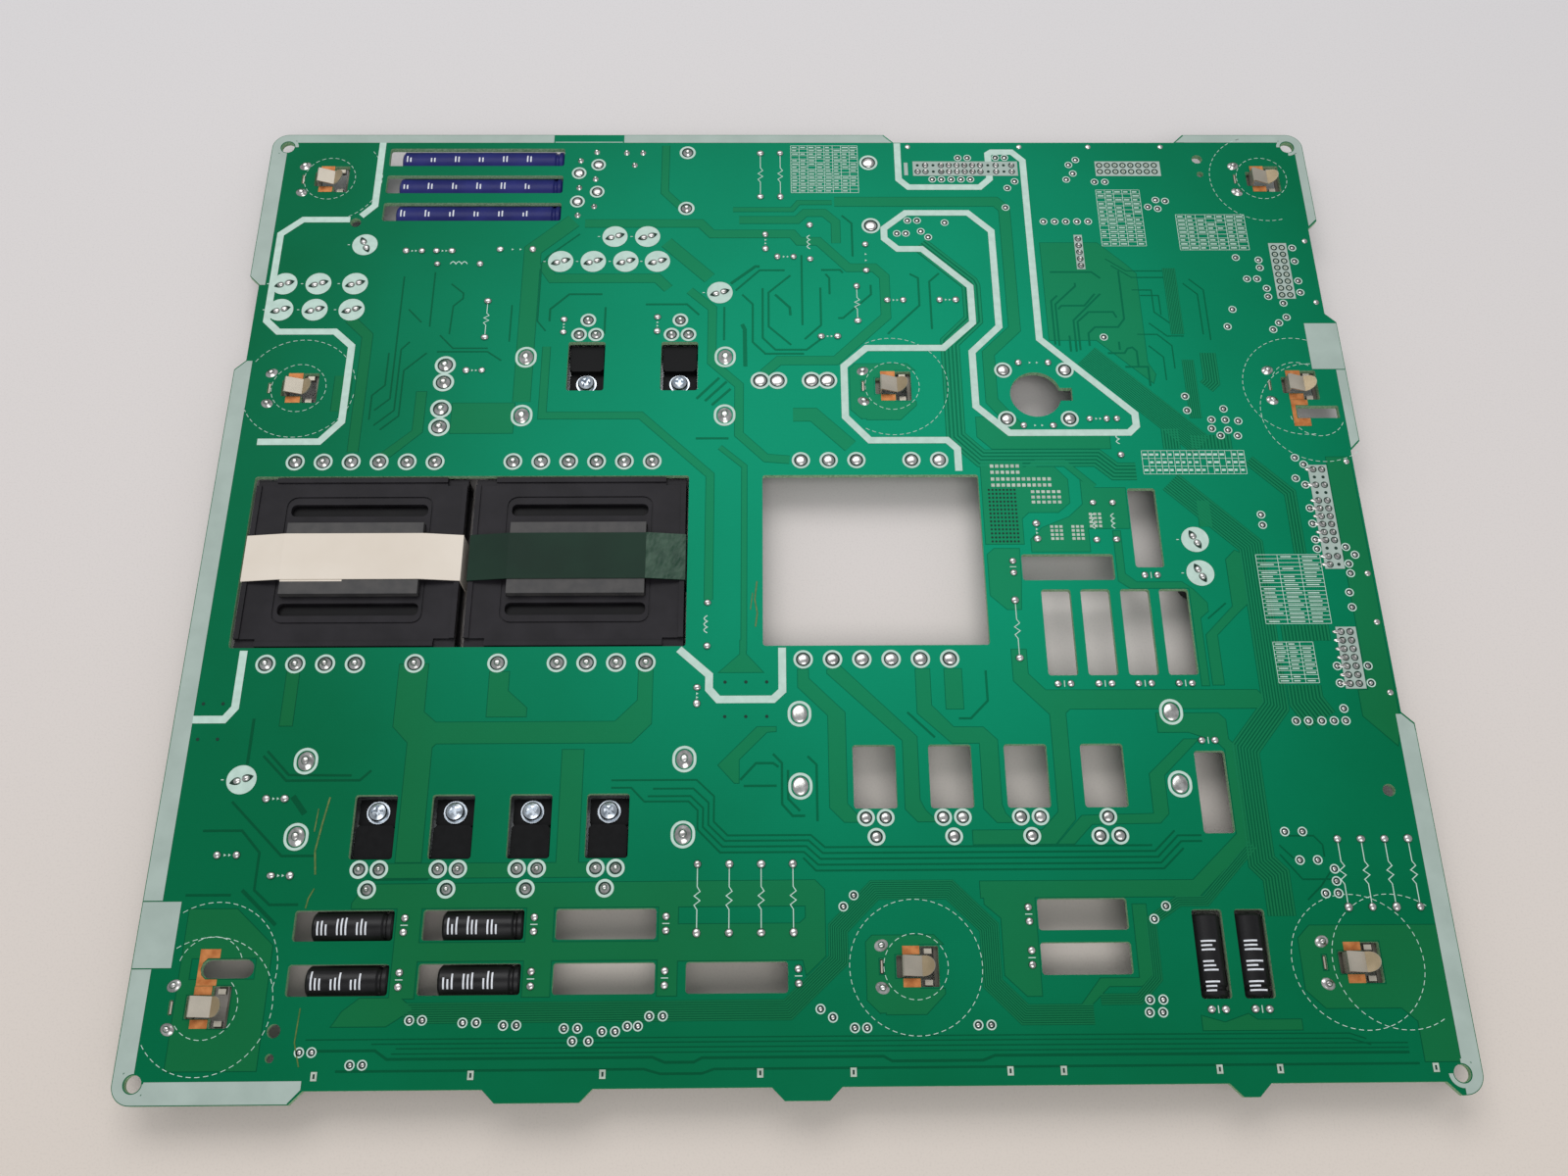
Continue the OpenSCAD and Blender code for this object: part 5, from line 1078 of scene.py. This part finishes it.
# Vias and lone holes: dark discs of painted shade
VIA_AT, VIA_STEP_X, VIA_STEP_Y, VIA_R, LONE_VIA_R = (55.7, 1.4), 1.05, 1.25, 0.34, 0.45
for i, j in cross_places(range(8), range(14)):
    holes.disc((VIA_AT[0] + VIA_STEP_X * i, VIA_AT[1] + VIA_STEP_Y * j), VIA_R, 8)
for place in cross_places((-157.9, -152.7), (-45.4, -55.2)) + cross_places((-19.2, -13.6, -8), (-40, -49.7)):
    holes.disc(place, LONE_VIA_R, 10)

solder = joints.build("solder_large", SOLDER)
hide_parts("solder_joints")
beads.build("solder_small", SOLDER)
leaves.build("print_openings", HOLE_SHADE)
gap_shade.build("joint_gaps", HOLE_SHADE)
pads.build("tinned_lands", LAND, "solder")
holes.build("via_holes", HOLE_SHADE)
slots.build("pad_slots", HOLE_SHADE)
blocks.build("header_print", BORDER)
silk.build("silkscreen", SILK)

# Bare copper lands beside the clips' tongues; those round a milled slot have x from the clip's joints
CLIP_LAND_X, CLIP_LAND_Y = (5.2, 9.5), (2.9, 5.0)
SLOT_LANDS = {
    4: [rect_points(5.3, 10.3, 45.3, 47.1), rect_points(5.3, 10.3, 38.3, 40.9), rect_points(5.3, 6.5, 40.9, 45.3)],
    5: [rect_points(5.3, 10.3, -111.5, -109.3), rect_points(5.3, 10.3, -118.1, -116.6),
        [(5.3, -116.6), (7.4, -116.6), (6.3, -115.6), (5.9, -114.1), (5.3, -114.1)],
        [(5.3, -114.1), (5.9, -114.1), (6.3, -112.6), (7.4, -111.5), (5.3, -111.5)]],
}
lands = Sheet(LAND_LIFT)
for i, (x, y) in enumerate(CLIPS):
    for side in (-1, 1):
        low, high = sorted(y + side * out for out in CLIP_LAND_Y)
        lands.rect(x + CLIP_LAND_X[0], x + CLIP_LAND_X[1], low, high)
    for points in SLOT_LANDS.get(i, []):
        lands.shape([(x + px, py) for px, py in points])
lands.build("copper_lands", COPPER)

# Tan tips of the sprung tongues, from the crease to the rounded end: a painted reflection on the spring metal
tip_verts, tip_faces = [], []
LEG_TO_CREASE, LEG_TO_END, TONGUE_R, TIP_BACK = 10.0, 13.0, 2.5, 0.1
CREASE_Z, END_Z, TIP_LIFT = 0.8, 2.8, 0.03
for x, y in CLIPS:
    crease, end = x + LEG_TO_CREASE, x + LEG_TO_END
    tip = circle_points((end - TIP_BACK - TONGUE_R, y), TONGUE_R, 14, -90, 180)
    first = len(tip_verts)
    for px, py in [(crease, y - TONGUE_R)] + tip + [(crease, y + TONGUE_R)]:
        rise = (px - crease) / (end - crease) * (END_Z - CREASE_Z)
        tip_verts.append((px, py, TOP + TIP_LIFT + CREASE_Z + rise))
    tip_faces.append(tuple(range(first, len(tip_verts))))
add_piece("tongue_tips", tip_verts, tip_faces, TONGUE_REFLECTION)

# Loose end of the cream tape on its core, and the crinkled end of the green tape on its slope
core_low, core_high = (Vector(v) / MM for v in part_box("transformer_1_core_upper"))
tape_low, tape_high = (Vector(v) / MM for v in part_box("transformer_1_tape"))
TAIL_W, TAIL_END, TAIL_LIFT = 0.55, 17.0, 0.02
tail = rect_points(core_low.x, core_low.x + TAIL_END, tape_low.y - TAIL_W, tape_low.y)
add_piece("tape_tail", [(x, y, core_high.z + TAIL_LIFT) for x, y in tail], [(0, 1, 2, 3)], CREAM)

core_low, core_high = (Vector(v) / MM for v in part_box("transformer_2_core_upper"))
tape_low, tape_high = (Vector(v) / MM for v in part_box("transformer_2_tape"))
CRINKLE_X, CRINKLE_Y, CRINKLE_LIFT, CRINKLE_H = 16, 12, 0.05, 0.1
SLOPE_START, SLOPE_END, SLOPE_DROP = core_high.x + 0.2, tape_high.x - 0.1, 1.46
crinkle = []
for i in range(CRINKLE_X + 1):
    share = i / CRINKLE_X
    x = SLOPE_START + (SLOPE_END - SLOPE_START) * share
    for j in range(CRINKLE_Y + 1):
        y = tape_low.y + (tape_high.y - tape_low.y) * j / CRINKLE_Y
        z = tape_high.z - SLOPE_DROP * share + CRINKLE_LIFT + rng.uniform(0, CRINKLE_H)
        crinkle.append((x, y, z))
rows = CRINKLE_Y + 1
add_piece("tape_end", crinkle, [
    (i * rows + j, (i + 1) * rows + j, (i + 1) * rows + j + 1, i * rows + j + 1)
    for i in range(CRINKLE_X) for j in range(CRINKLE_Y)
], PALE_TAPE)

# Marks of handling: flux residue beside the first transistor and scuffs by the empty window
RESIDUE_STRIPS = [
    (0.45, [(-121.2, -71), (-122.4, -78), (-123.4, -85), (-122.6, -91)]), (0.3, [(-123.8, -74), (-124.2, -80)]),
    (0.35, [(-122.4, -94.5), (-123.6, -97), (-124, -99.5)]),
    (0.3, [(-122.2, -123.6), (-122.6, -131.6), (-120.9, -137.2)]),
    (0.4, [(-10.6, -10.5), (-11.2, -16), (-10.5, -20), (-11, -24)]), (0.25, [(-11.8, -14), (-12.4, -19)]),
]
residue = Sheet(LAND_LIFT)
for width, path in RESIDUE_STRIPS:
    residue.strip(path, width)
residue.build("residue", RESIDUE)


# Print on the capacitors' sleeves
BAR_W, BAR_STEP, PRINT_LIFT, BEAD_END, FIRST_BAR = 0.42, 1.05, 0.03, 4.2, 1.4
SHORTEST_BAR, ARC_STEP = 0.5, 8


def sleeve_marks(name, node, axis, groups, bars, reach):
    """Groups of plain bars round the upper side of a lying can; reach is half the longest bar's angle."""
    low, high = (Vector(v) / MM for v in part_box(node))
    length = (high - low)[axis]
    side = 1 - axis
    middle, radius = (low + high) / 2, (high - low)[side] / 2 + PRINT_LIFT
    verts, faces = [], []

    def stroke(u0, u1, a0, a1):
        first, steps = len(verts), max(1, math.ceil(abs(a1 - a0) / ARC_STEP))
        for k in range(steps + 1):
            angle = math.radians(a0 + (a1 - a0) * k / steps)
            for u in (u0, u1):
                place = [0.0, 0.0, middle.z + radius * math.cos(angle)]
                place[axis] = low[axis] + u
                place[side] = middle[side] + radius * math.sin(angle)
                verts.append(tuple(place))
        for k in range(steps):
            a = first + 2 * k
            faces.append((a, a + 1, a + 3, a + 2) if axis == 0 else (a, a + 2, a + 3, a + 1))

    pitch = (length - BEAD_END - FIRST_BAR) / groups
    for group in range(groups):
        for bar in range(bars):
            start = FIRST_BAR + group * pitch + bar * BAR_STEP
            angle = reach * rng.uniform(SHORTEST_BAR, 1.0)
            stroke(start, start + BAR_W, -reach, 2 * angle - reach)
    add_piece(name, verts, faces, PRINT)


for i in (1, 2, 3):
    sleeve_marks(f"bulk_print_{i}", f"bulk_capacitor_{i}", 0, 6, 2, 15)
for i in (1, 2, 3, 4):
    sleeve_marks(f"output_print_{i}", f"output_capacitor_{i}", 0, 3, 3, 34)
for i in (5, 6):
    sleeve_marks(f"output_print_{i}", f"output_capacitor_{i}", 1, 3, 3, 34)


# Stage, light and camera
TABLE_FRONT, TABLE_BACK, TABLE_MIDDLE = -0.26, 0.32, 0.45
SPECK_GRAIN, SPECK_DETAIL, SPECK_TONE, WHITE = 1800, 3, (0.94, 0.94, 0.94, 1), (1, 1, 1, 1)
FLOOR_SIZE = 8


def table_top():
    """Pale table, a little warmer towards the front and darker there with painted shade, with faint specks."""
    material, tree, shader = new_material("pale_table")
    share = add_node(tree, "MapRange", {
        "Value": axis_of(tree, object_place(tree), "Y"), "From Min": TABLE_FRONT, "From Max": TABLE_BACK})
    tint_and_shade = ramp_between(tree, share.outputs["Result"], srgb(198, 186, 173), srgb(198, 196, 197), 0.0, 1.0)
    tint_and_shade.color_ramp.elements.new(TABLE_MIDDLE).color = srgb(201, 194, 190)
    tone = ramp_between(tree, noise_at(tree, SPECK_GRAIN, SPECK_DETAIL), SPECK_TONE, WHITE, 0.3, 0.5)
    colour = colour_mix(tree, 1.0, tint_and_shade.outputs["Color"], tone.outputs["Color"], "MULTIPLY")
    put(shader, {"Base Color": colour, "Roughness": 0.6, "Specular IOR Level": 0.2})
    return material


bpy.ops.mesh.primitive_plane_add(size=FLOOR_SIZE)
floor = bpy.context.object
floor.name = "floor"
floor.data.materials.append(table_top())


def area_light(name, place, target, size, power):
    data = bpy.data.lights.new(name, "AREA")
    data.shape = "RECTANGLE"
    data.size, data.size_y = size
    data.energy = power
    light = bpy.data.objects.new(name, data)
    light.location = place
    light.rotation_euler = (Vector(target) - Vector(place)).to_track_quat("-Z", "Y").to_euler()
    bpy.context.scene.collection.objects.link(light)


area_light("window_light", (-0.2, 0.75, 1.25), (0, 0, 0), (1.3, 0.8), 11)
area_light("fill_light", (0.15, -0.75, 1.25), (0, 0, 0), (1.0, 0.8), 8.5)
SKY_COLOUR, SKY_STRENGTH = (0.92, 0.95, 1.0, 1), 0.55
world = bpy.data.worlds.new("studio")
world.use_nodes = True
put(world.node_tree.nodes["Background"], {"Color": SKY_COLOUR, "Strength": SKY_STRENGTH})
bpy.context.scene.world = world

# The photograph's view: place, aim point on the solder face, roll and lens
CAMERA_PLACE = Vector((-7.85, -161.53, 350.89 + TOP)) * MM
CAMERA_AIM = Vector((-3.11, -12.55, TOP)) * MM
CAMERA_ROLL = math.radians(1.453)
CAMERA_LENS, SENSOR_W, NEAREST = 31.615, 36, 0.01
camera_data = bpy.data.cameras.new("photo_camera")
camera_data.sensor_width = SENSOR_W
camera_data.lens = CAMERA_LENS
camera_data.clip_start = NEAREST
camera = bpy.data.objects.new("photo_camera", camera_data)
camera.location = CAMERA_PLACE
aim = (CAMERA_AIM - CAMERA_PLACE).to_track_quat("-Z", "Y").to_matrix()
camera.rotation_euler = (aim @ Matrix.Rotation(CAMERA_ROLL, 3, "Z")).to_euler()
bpy.context.scene.collection.objects.link(camera)
bpy.context.scene.camera = camera
bpy.context.scene.view_settings.view_transform = "Standard"
